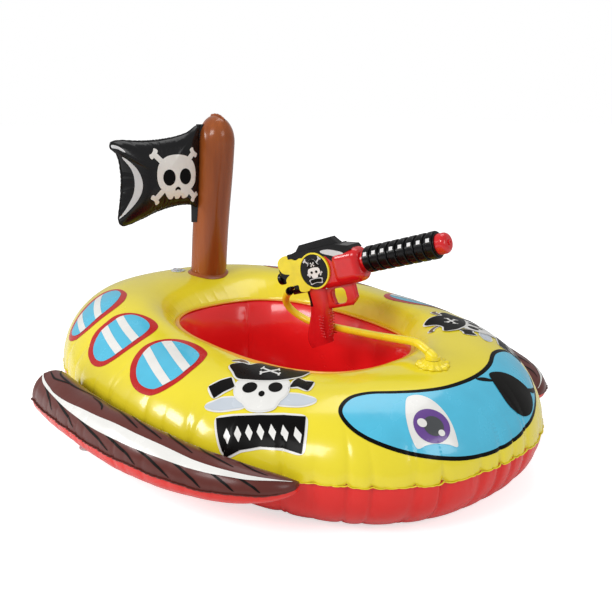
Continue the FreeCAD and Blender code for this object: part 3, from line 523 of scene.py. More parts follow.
def floor_sheet():
    """Cockpit floor: a welded sheet with shallow ripples running in from the wall."""
    shares = np.concatenate([np.linspace(0.0, 0.85, 16), [0.92, 0.96, 0.985, 1.0]])
    run, share = np.meshgrid(liner_run, shares, indexing="ij")
    x, y = rim_at(run, -0.5)
    x, y = RIM_X + (x - RIM_X) * share, y * share
    ripple = 1.6 * LINER_FOLDS.drop(run + 31, (1 - share) * 120) + 1.2 * np.sin(x / 41.0) * np.sin(y / 37.0)
    z = FLOOR_Z + 3.0 * share ** 12 + ripple * np.clip(share * 3, 0, 1)
    grid = np.stack([x, y, z], -1)
    return film(finish_piece("floor_film", grid_mesh("floor_film", grid, wrap_u=True, flip=True), "film_liner",
                             replaces=["cockpit_floor"]), 1.2)


floor_sheet()


def rim_bead():
    """Weld where deck and liner meet: a flat lip with a raised bead."""
    x0, y0 = rim_at(liner_run, 0.0)
    section = [(-1.6, 1.0), (-1.2, 2.6), (0.4, 3.4), (2.4, 3.0), (4.4, 2.2), (7.0, 1.6), (7.2, 0.6), (3.0, 0.2),
               (-0.6, 0.0)]
    rings = []
    wobble = 0.4 * np.sin(liner_run / 17.0) * np.sin(liner_run / 41.0)
    for grow, height in section:
        x, y = rim_at(liner_run, grow + 0.2 * wobble)
        rings.append(np.stack([x, y, RIM_Z + height + wobble * 0.6], -1))
    grid = np.stack(rings, 1)
    return finish_piece("rim_bead", grid_mesh("rim_bead", grid, wrap_u=True, wrap_v=True, flip=True), "weld",
                        replaces=["rim_weld"])


rim_bead()

# ------------------------------------------------------------------ side floats
FLOAT_RUN, FLOAT_ARC = 620.0, 126.0   # nominal length along a float, and length over its top
FLOAT_FOLDS = Creases(21, FLOAT_RUN * 1.2, 22, 52, 2.2, 30.0)
FLOAT_PUCKERS = Creases(23, FLOAT_RUN * 1.2, 7, 15, 0.9, 9.0)


def float_station(share, side):
    x = FLOAT_AFT_X + (FLOAT_BOW_X - FLOAT_AFT_X) * share
    reach = np.where(x > BEAM_X, HALF_LENGTH - BEAM_X, HALF_LENGTH + BEAM_X)
    angle = np.arccos(np.sign(x - BEAM_X) * (np.abs(x - BEAM_X) / reach) ** (HULL_POWER / 2))
    px, py = hull_curve(angle)
    ax, ay = hull_curve(angle - 0.01)
    bx, by = hull_curve(angle + 0.01)
    run = np.hypot(bx - ax, by - ay)
    nx, ny = (by - ay) / run, -(bx - ax) / run
    swollen = np.minimum(1.0, 0.25 + 0.75 * np.sqrt(np.maximum(share, 0) / 0.04))
    width = FLOAT_WIDTH * swollen * np.sqrt(1 - 0.97 * share ** 8)
    height = FLOAT_HEIGHT * swollen * np.sqrt(1 - 0.97 * share ** 4)
    foot = np.stack([px + nx * FLOAT_OFFSET, (py + ny * FLOAT_OFFSET) * side], -1)
    return foot, np.stack([nx, ny * side], -1), width, height


def float_point(u, w, side, up):
    """Point on a float; u runs along it, w over it from the outer weld to the inner edge."""
    u, w = np.broadcast_arrays(np.asarray(u, float), np.asarray(w, float))
    foot, normal, width, height = float_station(np.clip(u / FLOAT_RUN, 0, 1), side)
    phi = np.clip(w / FLOAT_ARC, 0, 1) * math.pi
    strength = 1.0 if up > 0 else 1.5
    fold = strength * FLOAT_FOLDS.drop(u + 40, w) + FLOAT_PUCKERS.drop(u + 40, w)
    fold = fold + 0.5 * FLOAT_FOLDS.drop(u + 71, FLOAT_ARC - w)
    size = np.clip(1.0 - fold / np.maximum(height, 8.0), 0.4, 1)
    waist = 1.0 + 0.02 * np.sin(u / 43.0) + 0.012 * np.sin(u / 17.0 + w / 30.0)
    reach = width / 2 + (width / 2) * np.cos(phi) * size
    rise = height * (1.0 if up > 0 else 0.84) * np.sin(phi) * size * waist
    edge = 1.3 * np.sin(u / 19.0) * np.sin(u / 47.0) * np.exp(-w / 12.0)
    return np.stack([foot[..., 0] + normal[..., 0] * reach, foot[..., 1] + normal[..., 1] * reach,
                     SEAM_Z + up * rise + edge], -1)


def float_columns():
    ends = np.array([0, 2, 5, 9, 14, 20])
    return np.concatenate([ends, np.linspace(24, FLOAT_RUN - 24, 188), FLOAT_RUN - ends[::-1]])


def float_piece(name, side, up, mat, replaces):
    w = np.concatenate([[0, 1.2, 2.6, 4.5, 7], np.linspace(10, FLOAT_ARC, 26)])
    grid = float_point(float_columns()[:, None], w[None, :], side, up)
    middle = grid.mean(axis=1, keepdims=True)
    closed = []
    for row, push in ((0, 0.0), (-1, 0.0)):
        tip = np.repeat(middle[row], grid.shape[1], 0) * [1, 1, 0] + [0, 0, SEAM_Z + push]
        closed.append(tip * 0.75 + grid[row] * 0.25)
    grid = np.concatenate([closed[0][None], grid, closed[1][None]])
    return film(finish_piece(name, grid_mesh(name, grid, flip=side * up > 0), mat, replaces=replaces))


def float_weld(name, side, replaces):
    """Scalloped weld round the outer side of a float and its blunt aft end."""
    u = np.linspace(0, FLOAT_RUN, 260)
    base = float_point(u, 0.0, side, 1.0)
    _, normal, _, _ = float_station(u / FLOAT_RUN, side)
    outward = np.concatenate([normal, 0 * u[:, None]], 1)
    pucker, _ = FLOAT_PUCKERS.weight(u + 40, 0.0)
    reach = (3.6 - 1.4 * pucker ** 3) * np.clip((FLOAT_RUN - u) / 30, 0.25, 1)
    section = [(-0.6, 0.5), (0.8, 0.45), (1.0, 0.0), (0.8, -0.45), (-0.6, -0.5)]
    grid = np.stack([base + outward * reach[:, None] * r + np.array([0, 0, h]) for r, h in section], 1)
    mesh = grid_mesh(name, grid, wrap_v=True, flip=side < 0)
    return finish_piece(name, mesh, "film_brown", replaces=replaces)


def float_web(name, side):
    """Strip of film that joins a float to the hull's weld, with its tab at the aft end."""
    u = np.linspace(-26, FLOAT_RUN * 0.985, 200)
    foot, normal, width, _ = float_station(np.clip(u / FLOAT_RUN, 0, 1), side)
    back = np.minimum(u, 0)[:, None]
    tangent = np.stack([normal[:, 1] * side, -normal[:, 0] * side], -1)
    foot = foot - tangent * back * side * side
    rows = []
    for reach, lift in ((-4.5, 1.6), (-1.0, 1.9), (3.0, 1.0), (9.0, 0.6)):
        wave = 0.7 * np.sin(u / 13.0) * np.sin(u / 31.0)
        rows.append(np.stack([foot[:, 0] + normal[:, 0] * reach, foot[:, 1] + normal[:, 1] * reach,
                              SEAM_Z + lift + wave], -1))
    return film(finish_piece(name, grid_mesh(name, np.stack(rows, 1), flip=side > 0), "film_brown"))


STRIPE = [(10, 58), (36, 44), (85, 37), (134, 34), (262, 42), (364, 46), (444, 46), (496, 43), (537, 42), (572, 44),
          (603, 49), (614, 54), (611, 49), (575, 35), (541, 31), (502, 29), (422, 27), (314, 24), (221, 25), (97, 31),
          (40, 39)]
GRAIN = [[(18, 83), (60, 67), (120, 64), (175, 73), (240, 81)], [(30, 59), (70, 53), (100, 59), (128, 67)],
         [(236, 78), (290, 73), (330, 64), (365, 56)], [(200, 70), (228, 69), (250, 63), (262, 55)],
         [(310, 83), (340, 73), (385, 64), (420, 56)], [(404, 83), (425, 71), (455, 63), (480, 55)],
         [(470, 81), (490, 69), (520, 60), (545, 53)], [(540, 78), (556, 67), (572, 60), (588, 56)],
         [(120, 31), (160, 25), (196, 18), (220, 8)], [(215, 27), (262, 21), (300, 15), (330, 6)],
         [(300, 27), (340, 21), (378, 14), (396, 4)], [(384, 28), (420, 22), (446, 13), (462, 4)],
         [(452, 32), (478, 24), (500, 14), (512, 4)], [(512, 35), (530, 27), (546, 17), (556, 6)],
         [(60, 36), (84, 31), (112, 21), (130, 10)], [(548, 38), (566, 29), (578, 20), (586, 8)]]


def brush_stroke(points, width):
    """Outline of a stroke that swells in the middle and ends in points."""
    p = np.asarray(points, float)
    t = np.linspace(0, len(p) - 1, 26)
    line = np.stack([np.interp(t, range(len(p)), p[:, 0]), np.interp(t, range(len(p)), p[:, 1])], -1)
    for _ in range(3):
        line[1:-1] = (line[:-2] + 2 * line[1:-1] + line[2:]) / 4
    ahead = np.gradient(line, axis=0)
    ahead /= np.linalg.norm(ahead, axis=1)[:, None]
    half = width / 2 * np.sin(np.linspace(0.12, math.pi - 0.12, len(line)))[:, None] ** 0.6
    side = np.stack([-ahead[:, 1], ahead[:, 0]], -1) * half
    return np.concatenate([line + side, (line - side)[::-1]])


def make_floats():
    for side, name in ((-1, "near_float"), (1, "far_float")):
        float_piece(name + "_top_film", side, 1.0, "film_brown", [name + "_top"])
        float_piece(name + "_bottom_film", side, -1.0, "film_underside", [name + "_bottom"])
        float_weld(name + "_weld", side, [name + "_flange"])
        float_web(name + "_web", side)

        def top(u, w, side=side):
            return float_point(u, w, side, 1.0)

        surface = surface_of(top, -float(side))
        decal(name + "_stripe", surface, smooth_closed(STRIPE, 6), "print_white", layer=1)
        for i, stroke in enumerate(GRAIN):
            decal(f"{name}_grain_{i:02d}", surface, brush_stroke(stroke, 4.2), "print_ink", step=4.0)


make_floats()

# ------------------------------------------------------------------ mast
MAST_AXIS = (MAST_TOP - MAST_BASE) / np.linalg.norm(MAST_TOP - MAST_BASE)
MAST_LENGTH = float(np.linalg.norm(MAST_TOP - MAST_BASE)) + 6.0
MAST_FORE = np.array([1.0, 0, 0]) - MAST_AXIS * MAST_AXIS[0]
MAST_FORE /= np.linalg.norm(MAST_FORE)
MAST_PORT = np.cross(MAST_AXIS, MAST_FORE)
MAST_CAP = 58.0        # length over which the tube closes to its top weld
MAST_TOP_FOLDS = Creases(31, 2 * math.pi * MAST_R, 12, 30, 2.4, 26.0)
MAST_BASE_FOLDS = Creases(33, 2 * math.pi * MAST_R, 14, 34, 1.5, 22.0)


def mast_point(turn, t):
    """Point on the mast: turn is the angle round it and t the height above its base."""
    turn, t = np.broadcast_arrays(np.asarray(turn, float), np.asarray(t, float))
    near_top = np.clip((t - (MAST_LENGTH - MAST_CAP)) / MAST_CAP, 0, 1)
    thin = np.sqrt(np.maximum(1 - near_top ** 2.2, 0.0004))
    wide = 1.0 + 0.02 * np.sin(math.pi * near_top) - 0.34 * near_top ** 3
    run = turn * MAST_R
    fold = MAST_TOP_FOLDS.drop(run, MAST_LENGTH - t) * np.clip(thin * 2, 0, 1)
    fold = fold + MAST_BASE_FOLDS.drop(run, t - 8)
    radius = MAST_R - fold + 0.5 * np.sin(t / 37.0 + 2 * np.sin(turn)) + 0.35 * np.sin(3 * turn + t / 51.0)
    fore, port = radius * wide * np.cos(turn), radius * thin * np.sin(turn)
    slump = 11.0 * near_top ** 2 * (fore / MAST_R) ** 2 + 3.0 * near_top ** 2 * fore / MAST_R
    along = t - slump
    return (MAST_BASE + along[..., None] * MAST_AXIS + fore[..., None] * MAST_FORE
            + port[..., None] * MAST_PORT)


def hull_tree():
    points = deck_grid.reshape(-1, 3)
    nu, nv = deck_grid.shape[:2]
    i, j = np.meshgrid(np.arange(nu), np.arange(nv - 1), indexing="ij")
    i2 = (i + 1) % nu
    quads = np.stack([i * nv + j, i2 * nv + j, i2 * nv + j + 1, i * nv + j + 1], -1).reshape(-1, 4)
    return BVHTree.FromPolygons(points.tolist(), quads.tolist())


DECK_TREE = hull_tree()


def on_deck(x, y):
    hit = DECK_TREE.ray_cast(Vector((x, y, 400.0)), Vector((0, 0, -1)))
    return (hit[0].z, np.array(hit[1])) if hit[0] else (CREST_Z, np.array([0, 0, 1.0]))


def deck_collar(name, centre, section, mat, replaces=(), sides=72, wobble=0.0):
    """Soft ring that lies on the deck round a point; section is (radius, height above the film)."""
    rings = []
    for i in range(sides):
        turn = 2 * math.pi * i / sides
        ring = []
        for radius, height in section:
            r = radius + wobble * math.sin(5 * turn) * math.sin(2 * turn + 1)
            x, y = centre[0] + r * math.cos(turn), centre[1] + r * math.sin(turn)
            z, _ = on_deck(x, y)
            ring.append((x, y, z + height))
        rings.append(ring)
    return finish_piece(name, grid_mesh(name, np.array(rings), wrap_u=True, wrap_v=True, flip=True), mat,
                        replaces=replaces)


def make_mast():
    turns = np.linspace(0, 2 * math.pi, 120, endpoint=False)
    heights = np.concatenate([np.linspace(-14, MAST_LENGTH - MAST_CAP, 56),
                              MAST_LENGTH - MAST_CAP * (1 - np.sin(np.linspace(0.06, 1, 26) * math.pi / 2))])
    grid = mast_point(turns[:, None], heights[None, :])
    film(finish_piece("mast_film", grid_mesh("mast_film", grid, wrap_u=True), "film_mast",
                      replaces=["mast_tube"]))
    deck_collar("mast_foot", MAST_BASE, [(36.0, 7.0), (38.2, 4.0), (40.0, 2.0), (42.6, 1.1), (43.2, 0.3),
                                         (40.0, -0.8), (36.0, -0.8)],
                "film_mast", ["mast_base_flange"], wobble=0.5)
    share = np.linspace(-1, 1, 60)
    half = MAST_R * 0.68
    rows = []
    for rise, thick in ((-3.0, 0.9), (3.2, 0.8), (4.0, 0.0), (3.2, -0.8), (-3.0, -0.9)):
        scallop = 0.5 * np.sin(share * 23) * np.sin(share * 9)
        along = MAST_LENGTH - 11.0 * (share * 0.68) ** 2 - 3.0 * share * 0.68 + rise + (scallop if rise > 0 else 0)
        rows.append(MAST_BASE + along[:, None] * MAST_AXIS + (share * half)[:, None] * MAST_FORE
                    + thick * MAST_PORT)
    finish_piece("mast_top_weld", grid_mesh("mast_top_weld", np.stack(rows, 1), wrap_v=True), "film_mast",
                 replaces=["mast_end_weld"])


make_mast()

# ------------------------------------------------------------------ flag
FLAG_X = -303.5
FLAG_MIDDLE = np.array([-64.0, 424.0])
FLAG_OUTLINE = [(28, 518), (0, 505), (-29, 497), (-68, 492), (-106, 492), (-144, 495), (-162, 491), (-163, 479),
                (-152, 470), (-146, 447), (-145, 422), (-148, 394), (-153, 367), (-156, 347), (-150, 336),
                (-135, 336), (-106, 345), (-69, 358), (-29, 365), (5, 363), (19, 353), (24, 377), (27, 424),
                (29, 471)]
FLAG_CURVE = smooth_closed(FLAG_OUTLINE, 12)
FLAG_POLAR = np.sort(np.arctan2(FLAG_CURVE[:, 1] - FLAG_MIDDLE[1], FLAG_CURVE[:, 0] - FLAG_MIDDLE[0]))
FLAG_ORDER = np.argsort(np.arctan2(FLAG_CURVE[:, 1] - FLAG_MIDDLE[1], FLAG_CURVE[:, 0] - FLAG_MIDDLE[0]))
FLAG_RADII = np.hypot(*(FLAG_CURVE - FLAG_MIDDLE).T)[FLAG_ORDER]
FLAG_GIRTH = 700.0
FLAG_FOLDS = Creases(41, FLAG_GIRTH, 14, 34, 3.0, 15.0, 1.0)
FLAG_PUCKERS = Creases(43, FLAG_GIRTH, 6, 12, 0.8, 6.0, 0.5)
FLAG_THICK = 18.0


def flag_radius(turn):
    return np.interp(turn, FLAG_POLAR, FLAG_RADII, period=2 * math.pi)


def flag_bulge(y, z):
    """Half thickness of the blown-up flag at a place in its plane."""
    turn = np.arctan2(z - FLAG_MIDDLE[1], y - FLAG_MIDDLE[0])
    far = np.hypot(y - FLAG_MIDDLE[0], z - FLAG_MIDDLE[1])
    share = np.clip(far / flag_radius(turn), 0, 1)
    girth = (turn + math.pi) / (2 * math.pi) * FLAG_GIRTH
    inward = (1 - share) * flag_radius(turn)
    fold = FLAG_FOLDS.drop(girth, inward) + FLAG_PUCKERS.drop(girth, inward)
    dome = FLAG_THICK * np.clip(1 - share ** 2.6, 0, 1) ** 0.62
    return np.maximum(dome - fold * np.clip(dome / 5, 0, 1), 0.0) + 0.4


def flag_face(facing):
    def point(y, z):
        y, z = np.broadcast_arrays(np.asarray(y, float), np.asarray(z, float))
        return np.stack([FLAG_X + facing * flag_bulge(y, z), y, z], -1)
    return point


def bone(ax, ay, bx, by, width, knob):
    """Outline of a bone with two knobs at each end."""
    a, b = np.array([ax, ay], float), np.array([bx, by], float)
    along = (b - a) / np.linalg.norm(b - a)
    side = np.array([-along[1], along[0]])
    w, k = width / 2, knob
    half = [a + side * w + along * k, a + side * w * 1.1 + along * k * 0.5, a + side * k * 1.35 + along * k * 0.2,
            a + side * k * 1.1 - along * k * 0.75, a + side * k * 0.35 - along * k * 0.55,
            a - side * k * 0.35 - along * k * 0.55, a - side * k * 1.1 - along * k * 0.75,
            a - side * k * 1.35 + along * k * 0.2, a - side * w * 1.1 + along * k * 0.5, a - side * w + along * k]
    middle = (a + b) / 2
    other = [2 * middle - p for p in half]
    return smooth_closed(half + other, 5)


def ellipse(x, y, rx, ry, tilt=0.0, count=40):
    turn = np.linspace(0, 2 * math.pi, count, endpoint=False)
    px, py = rx * np.cos(turn), ry * np.sin(turn)
    c, s = math.cos(tilt), math.sin(tilt)
    return np.stack([x + px * c - py * s, y + px * s + py * c], -1)


def skull_outline(x, y, size):
    """A round plain skull: broad head, cheeks drawn in and a scalloped jaw."""
    shape = [(0, 46), (24, 42), (41, 28), (46, 6), (42, -14), (31, -25), (25, -35), (19, -41), (12, -41), (8, -35),
             (4, -41), (-4, -41), (-8, -35), (-12, -41), (-19, -41), (-25, -35), (-31, -25), (-42, -14), (-46, 6),
             (-41, 28), (-24, 42)]
    return smooth_closed(np.array(shape) * size / 92.0 + [x, y], 6)


def draw_skull(prefix, surface, x, y, size, body="boat", layer=1, eyes="print_black", step=5.0,
               white="print_white"):
    decal(prefix + "_skull", surface, skull_outline(x, y, size), white, layer, step, body)
    k = size / 92.0
    for tag, dx in (("a", -19), ("b", 19)):
        decal(f"{prefix}_socket_{tag}", surface, ellipse(x + dx * k, y + 2 * k, 14 * k, 16 * k), eyes,
              layer + 1, step, body)
    nose = smooth_closed(np.array([(0, -17), (6, -21), (5, -25), (0, -22), (-5, -25), (-6, -21)]) * k + [x, y], 4)
    decal(prefix + "_nose", surface, nose, eyes, layer + 1, step, body)


def make_flag():
    count = 260
    turns = np.linspace(-math.pi, math.pi, count, endpoint=False)
    shares = 1 - (1 - np.linspace(0.0, 1.0, 34)) ** 1.5
    for name, facing, node in (("flag_front_film", 1.0, "flag_front_panel"), ("flag_back_film", -1.0,
                                                                              "flag_back_panel")):
        reach = flag_radius(turns)[:, None] * np.maximum(shares, 0.004)[None, :]
        y = FLAG_MIDDLE[0] + reach * np.cos(turns)[:, None]
        z = FLAG_MIDDLE[1] + reach * np.sin(turns)[:, None]
        grid = flag_face(facing)(y, z)
        half = finish_piece(name, grid_mesh(name, grid, wrap_u=True, flip=facing > 0), "film_black",
                            replaces=[node])
        film(half, 0.5)
    edge = flag_radius(turns)
    pucker, _ = FLAG_PUCKERS.weight((turns + math.pi) / (2 * math.pi) * FLAG_GIRTH, 0.0)
    rows = []
    for out, thick in ((-2.0, 0.7), (2.6, 0.5), (3.4, 0.0), (2.6, -0.5), (-2.0, -0.7)):
        r = edge + out - (0.9 * pucker ** 2 if out > 0 else 0)
        x = FLAG_X + thick + 0.8 * np.sin(turns * 23) * np.sin(turns * 7)
        rows.append(np.stack([x, FLAG_MIDDLE[0] + r * np.cos(turns), FLAG_MIDDLE[1] + r * np.sin(turns)], -1))
    finish_piece("flag_weld", grid_mesh("flag_weld", np.stack(rows, 1), wrap_u=True, wrap_v=True), "film_black")
    z = np.linspace(325, 522, 60)
    lean = np.interp(z, [MAST_BASE[2], MAST_TOP[2]], [MAST_BASE[1], MAST_TOP[1]])
    strip = []
    for y0, y1, thick in ((0, 0, 1.2), (1, 1, 1.2), (1, 1, -1.2), (0, 0, -1.2)):
        outer = np.where(z < 368, 8.0, np.where(z < 505, 18.0, 27.0))
        inner = lean - MAST_R * 0.42
        y = outer * (1 - y0) + inner * y1
        x = FLAG_X - 4.0 + thick + 16.0 * y0
        strip.append(np.stack([x + 0.6 * np.sin(z / 9.0), y, z], -1))
    finish_piece("flag_strip_film", grid_mesh("flag_strip_film", np.stack(strip, 1), wrap_v=True), "film_black",
                 replaces=["flag_strip"])
    for tag, facing in (("front", 1.0), ("back", -1.0)):
        surface = surface_of(flag_face(facing), facing)
        for i, ends in enumerate([(-82, 468, 6, 380), (7, 467, -84, 381)]):
            decal(f"flag_{tag}_bone_{i}", surface, bone(*ends, 11, 8.5), "print_white", 1, 4.0)
        draw_skull(f"flag_{tag}", surface, -34, 420, 91, layer=2, step=4.0)
        # Painted highlights: a grey crescent near the flag's left edge and a small grey mark at its top corner stand
        # in for light caught by the glossy blown-up film.
        highlight_crescent = [(-145, 465), (-131, 455), (-117, 438), (-110, 417), (-113, 397), (-127, 376), (-156, 348),
                    (-141, 372), (-129, 394), (-125, 417), (-129, 440)]
        decal(f"flag_{tag}_crescent", surface, smooth_closed(highlight_crescent, 6), "silver_print_and_highlight", 1, 4.0)
        corner_highlight = [(-162, 488), (-152, 485), (-141, 476), (-143, 474), (-153, 480), (-163, 483)]
        decal(f"flag_{tag}_corner", surface, smooth_closed(corner_highlight, 6), "silver_print_and_highlight", 1, 4.0)


make_flag()


# ------------------------------------------------------------------ prints on the deck
def inset(outline, amount):
    """Closed outline moved inwards by amount, or outwards if it is negative."""
    p = resample(np.asarray(outline, float), 3.0)
    ahead = np.roll(p, -1, 0) - np.roll(p, 1, 0)
    ahead /= np.maximum(np.linalg.norm(ahead, axis=1), 1e-9)[:, None]
    area = 0.5 * np.sum(p[:, 0] * np.roll(p[:, 1], -1) - np.roll(p[:, 0], -1) * p[:, 1])
    inward = np.stack([-ahead[:, 1], ahead[:, 0]], -1) * math.copysign(1, area)
    moved = p + inward * amount
    for _ in range(2):
        moved = (np.roll(moved, 1, 0) + 2 * moved + np.roll(moved, -1, 0)) / 4
    return moved


def clip_band(outline, direction, centre, half):
    """Part of a convex outline between two parallel lines."""
    normal = np.array([-direction[1], direction[0]], float)
    normal /= np.linalg.norm(normal)
    p = np.asarray(outline, float)
    for sign in (1.0, -1.0):
        height = half - sign * ((p - centre) @ normal)
        out = []
        for i in range(len(p)):
            j = (i + 1) % len(p)
            if height[i] >= 0:
                out.append(p[i])
            if (height[i] >= 0) != (height[j] >= 0):
                out.append(p[i] + (p[j] - p[i]) * height[i] / (height[i] - height[j]))
        p = np.array(out)
    return p


def side_surface(mirror):
    """The deck in unrolled coordinates, as seen from the near side or mirrored to the far side."""
    if not mirror:
        return deck_surface

    def far(a, d):
        return deck_point(-a, d)
    return surface_of(far, -1.0)


def framed_surface(surface, centre, turn, scale):
    """Drawing plane laid on the unrolled deck round a centre, turned and scaled."""
    c, s = scale * math.cos(turn), scale * math.sin(turn)

    def both(x, y):
        return surface(centre[0] + x * c - y * s, centre[1] + x * s + y * c)
    return both


WINDOWS = [
    ([(-607, 202), (-655, 211), (-700, 211), (-727, 201), (-741, 182), (-739, 158), (-722, 132), (-700, 108),
      (-674, 88), (-645, 74), (-615, 71), (-590, 78), (-571, 98), (-560, 128), (-566, 165), (-583, 188)],
     [((-650, 128), (3.4, -1)), ((-655, 168), (3.9, -1))]),
    ([(-806, 203), (-842, 218), (-884, 223), (-915, 215), (-928, 197), (-923, 172), (-903, 146), (-884, 118),
      (-858, 94), (-826, 75), (-792, 68), (-763, 78), (-750, 106), (-756, 142), (-776, 177)],
     [((-823, 128), (6, -1)), ((-846, 166), (7, -1))]),
    ([(-1008, 205), (-1060, 217), (-1090, 210), (-1102, 194), (-1096, 170), (-1068, 142), (-1036, 114),
      (-1004, 84), (-974, 63), (-942, 64), (-918, 82), (-913, 110), (-930, 146), (-962, 180)],
     [((-968, 104), (4, -0.2)), ((-1008, 150), (4, -0.4))]),
]
FAR_SHIFT = [(-130, 6), (-80, -22), (-12, -4)]


def make_windows():
    for mirror, side in ((False, "near"), (True, "far")):
        surface = side_surface(mirror)
        for i, (outline, bars) in enumerate(WINDOWS):
            move = np.array(FAR_SHIFT[i] if mirror else (0, 0)) * [-1, 1]
            frame_line = smooth_closed(np.array(outline) + move, 6)
            pane = inset(frame_line, 13.0)
            name = f"{side}_window_{i}"
            decal(name + "_frame", surface, frame_line, "print_red", 0)
            decal(name + "_pane", surface, pane, "print_blue", 1)
            for j, (centre, direction) in enumerate(bars):
                bar = clip_band(pane, direction, np.array(centre) + move, 7.5)
                decal(f"{name}_bar_{j}", surface, bar, "print_white", 2)


make_windows()

HAT = [(-75, 55), (-60, 63), (-42, 60), (-30, 70), (-14, 82), (6, 88), (26, 82), (44, 66), (60, 56), (88, 50),
       (70, 36), (48, 30), (24, 26), (0, 25), (-24, 26), (-44, 28), (-58, 40)]
FLAGS = [[(-81, 13), (-68, 24), (-55, 30), (-42, 14), (-55, 6), (-66, -4)],
         [(41, 11), (50, 24), (60, 31), (70, 22), (84, 19), (76, 10), (67, 2), (54, 12)]]
BLADES = [[(-76, -15), (-64, -8), (-52, -3), (-30, -4), (-20, -14), (-36, -18), (-58, -20)],
          [(74, -14), (62, -6), (50, -1), (28, 0), (18, -12), (36, -17), (56, -19)]]
BANNER = [(-57, -30), (-34, -27), (-2, -27), (28, -29), (53, -34), (45, -55), (36, -77), (18, -68), (-6, -65),
          (-30, -69), (-51, -80), (-54, -55)]
HILTS = [[(-38, 52), (-54, 66), (-70, 73), (-84, 68)], [(40, 60), (56, 72), (70, 76), (82, 70)]]
HEAD = [(-38, 26), (-40, 8), (-33, -4), (-23, -10), (-17, -19), (0, -22), (17, -19), (23, -10), (34, -2), (40, 10),
        (38, 28), (0, 36)]


def polygon(points, per_side=6):
    """Closed outline with straight sides."""
    p = np.asarray(points, float)
    t = np.linspace(0, 1, per_side, endpoint=False)[:, None]
    return np.concatenate([a + (b - a) * t for a, b in zip(p, np.roll(p, -1, 0))])


def make_side_print():
    for mirror, side, centre, scale in ((False, "near", (-373, 145), 1.44), (True, "far", (-271, 160), 1.0)):
        surface = framed_surface(side_surface(mirror), centre, 0.28, scale)
        for i, blade in enumerate(BLADES):
            shape = smooth_closed(blade, 6)
            decal(f"{side}_blade_{i}_edge", surface, inset(shape, -2.4), "print_white", 0)
            decal(f"{side}_blade_{i}", surface, shape, "print_grey", 1)
        for i, flag in enumerate(FLAGS):
            shape = polygon(flag)
            decal(f"{side}_pennant_{i}_edge", surface, inset(shape, -2.6), "print_white", 1)
            decal(f"{side}_pennant_{i}", surface, shape, "print_black", 2)
            foot = flag[3] if i == 0 else flag[0]
            pole = brush_stroke([foot, ((foot[0] + 0) * 0.72, foot[1] - 12)], 3.0)
            decal(f"{side}_pole_{i}", surface, pole, "print_black", 2, 3.0)
        head = smooth_closed(HEAD, 6)
        decal(f"{side}_head_edge", surface, inset(head, -2.2), "print_white", 2)
        decal(f"{side}_head", surface, head, "print_white", 3)
        for tag, x in (("a", -19), ("b", 20)):
            decal(f"{side}_socket_{tag}", surface, ellipse(x, 12.5, 11, 8.8, 0.1), "print_black", 4, 4.0)
        decal(f"{side}_nose", surface, ellipse(0, 2, 4.5, 4.5), "print_black", 4, 3.0)
        for i, hilt in enumerate(HILTS):
            stroke = brush_stroke(hilt, 7.0)
            decal(f"{side}_hilt_{i}_edge", surface, inset(stroke, -2.4), "print_white", 1, 3.0)
            decal(f"{side}_hilt_{i}", surface, stroke, "print_brown", 2, 3.0)
        hat = smooth_closed(HAT, 6)
        decal(f"{side}_hat_edge", surface, inset(hat, -2.6), "print_white", 4)
        decal(f"{side}_hat", surface, hat, "print_black", 5)
        for i, ends in enumerate([(-12, 54, 24, 40), (-10, 41, 22, 53)]):
            decal(f"{side}_hat_bone_{i}", surface, bone(*ends, 3.6, 3.4), "print_white", 6, 3.0)
        banner = polygon(BANNER, 5)
        decal(f"{side}_banner_edge", surface, inset(banner, -3.0), "print_white", 0, 2.6)
        decal(f"{side}_banner", surface, banner, "print_black", 2, 2.6)
        for i in range(7):
            x = -43 + 13.5 * i
            y = -48 - 0.0035 * (x + 3) ** 2 - 0.03 * x
            lozenge = polygon([(x, y + 10), (x + 4.5, y), (x, y - 10), (x - 4.5, y)], 3)
            decal(f"{side}_banner_mark_{i}", surface, lozenge, "print_white", 4, 2.6)


make_side_print()

MASK = [(-229, 128), (-222, 147), (-200, 164), (-166, 170), (-126, 164), (-84, 156), (-38, 149), (6, 147),
        (52, 148), (97, 151), (135, 155), (162, 151), (192, 138), (213, 119), (211, 97), (189, 77), (153, 63),
        (116, 51), (81, 42), (39, 34), (0, 30), (-38, 31), (-73, 36), (-104, 44), (-134, 54), (-163, 66),
        (-195, 84), (-217, 103)]
EYE = [(-117, 146), (-103, 151), (-89, 147), (-78, 134), (-72, 113), (-71, 90), (-73, 68), (-76, 55), (-89, 62),
       (-106, 67), (-121, 67), (-134, 64), (-138, 81), (-137, 101), (-131, 123)]
PATCH = [(67, 140), (87, 136), (107, 123), (123, 102), (132, 79), (123, 64), (102, 54), (82, 54), (65, 63),
         (51, 82), (50, 104), (57, 128)]


def make_bow_mask():
    mask = smooth_closed(MASK, 6)
    eye = smooth_closed(EYE, 6)
    decal("bow_mask_line", deck_surface, inset(mask, -3.6), "print_black", 0, 3.6)
    decal("bow_mask", deck_surface, inset(mask, 3.2), "print_blue", 1, 3.6)
    decal("bow_eye", deck_surface, eye, "print_white", 2)
    decal("bow_iris", deck_surface, ellipse(-102, 95, 27, 28, -0.25), "print_purple", 3)
    decal("bow_pupil", deck_surface, ellipse(-100, 94, 15, 16, -0.2), "print_pupil", 4, 4.0)
    decal("bow_glint_a", deck_surface, ellipse(-115, 102, 7, 7.2), "print_white", 5, 3.0)
    decal("bow_glint_b", deck_surface, ellipse(-93, 81, 5, 5.2), "print_white", 5, 3.0)
    decal("bow_patch", deck_surface, smooth_closed(PATCH, 6), "print_ink", 3)
    for tag, line in (("a", [(30, 143), (44, 137), (60, 128)]), ("b", [(124, 84), (146, 72), (166, 68)])):
        decal("bow_strap_" + tag, deck_surface, brush_stroke(line, 8.0), "print_ink", 2, 3.0)


make_bow_mask()

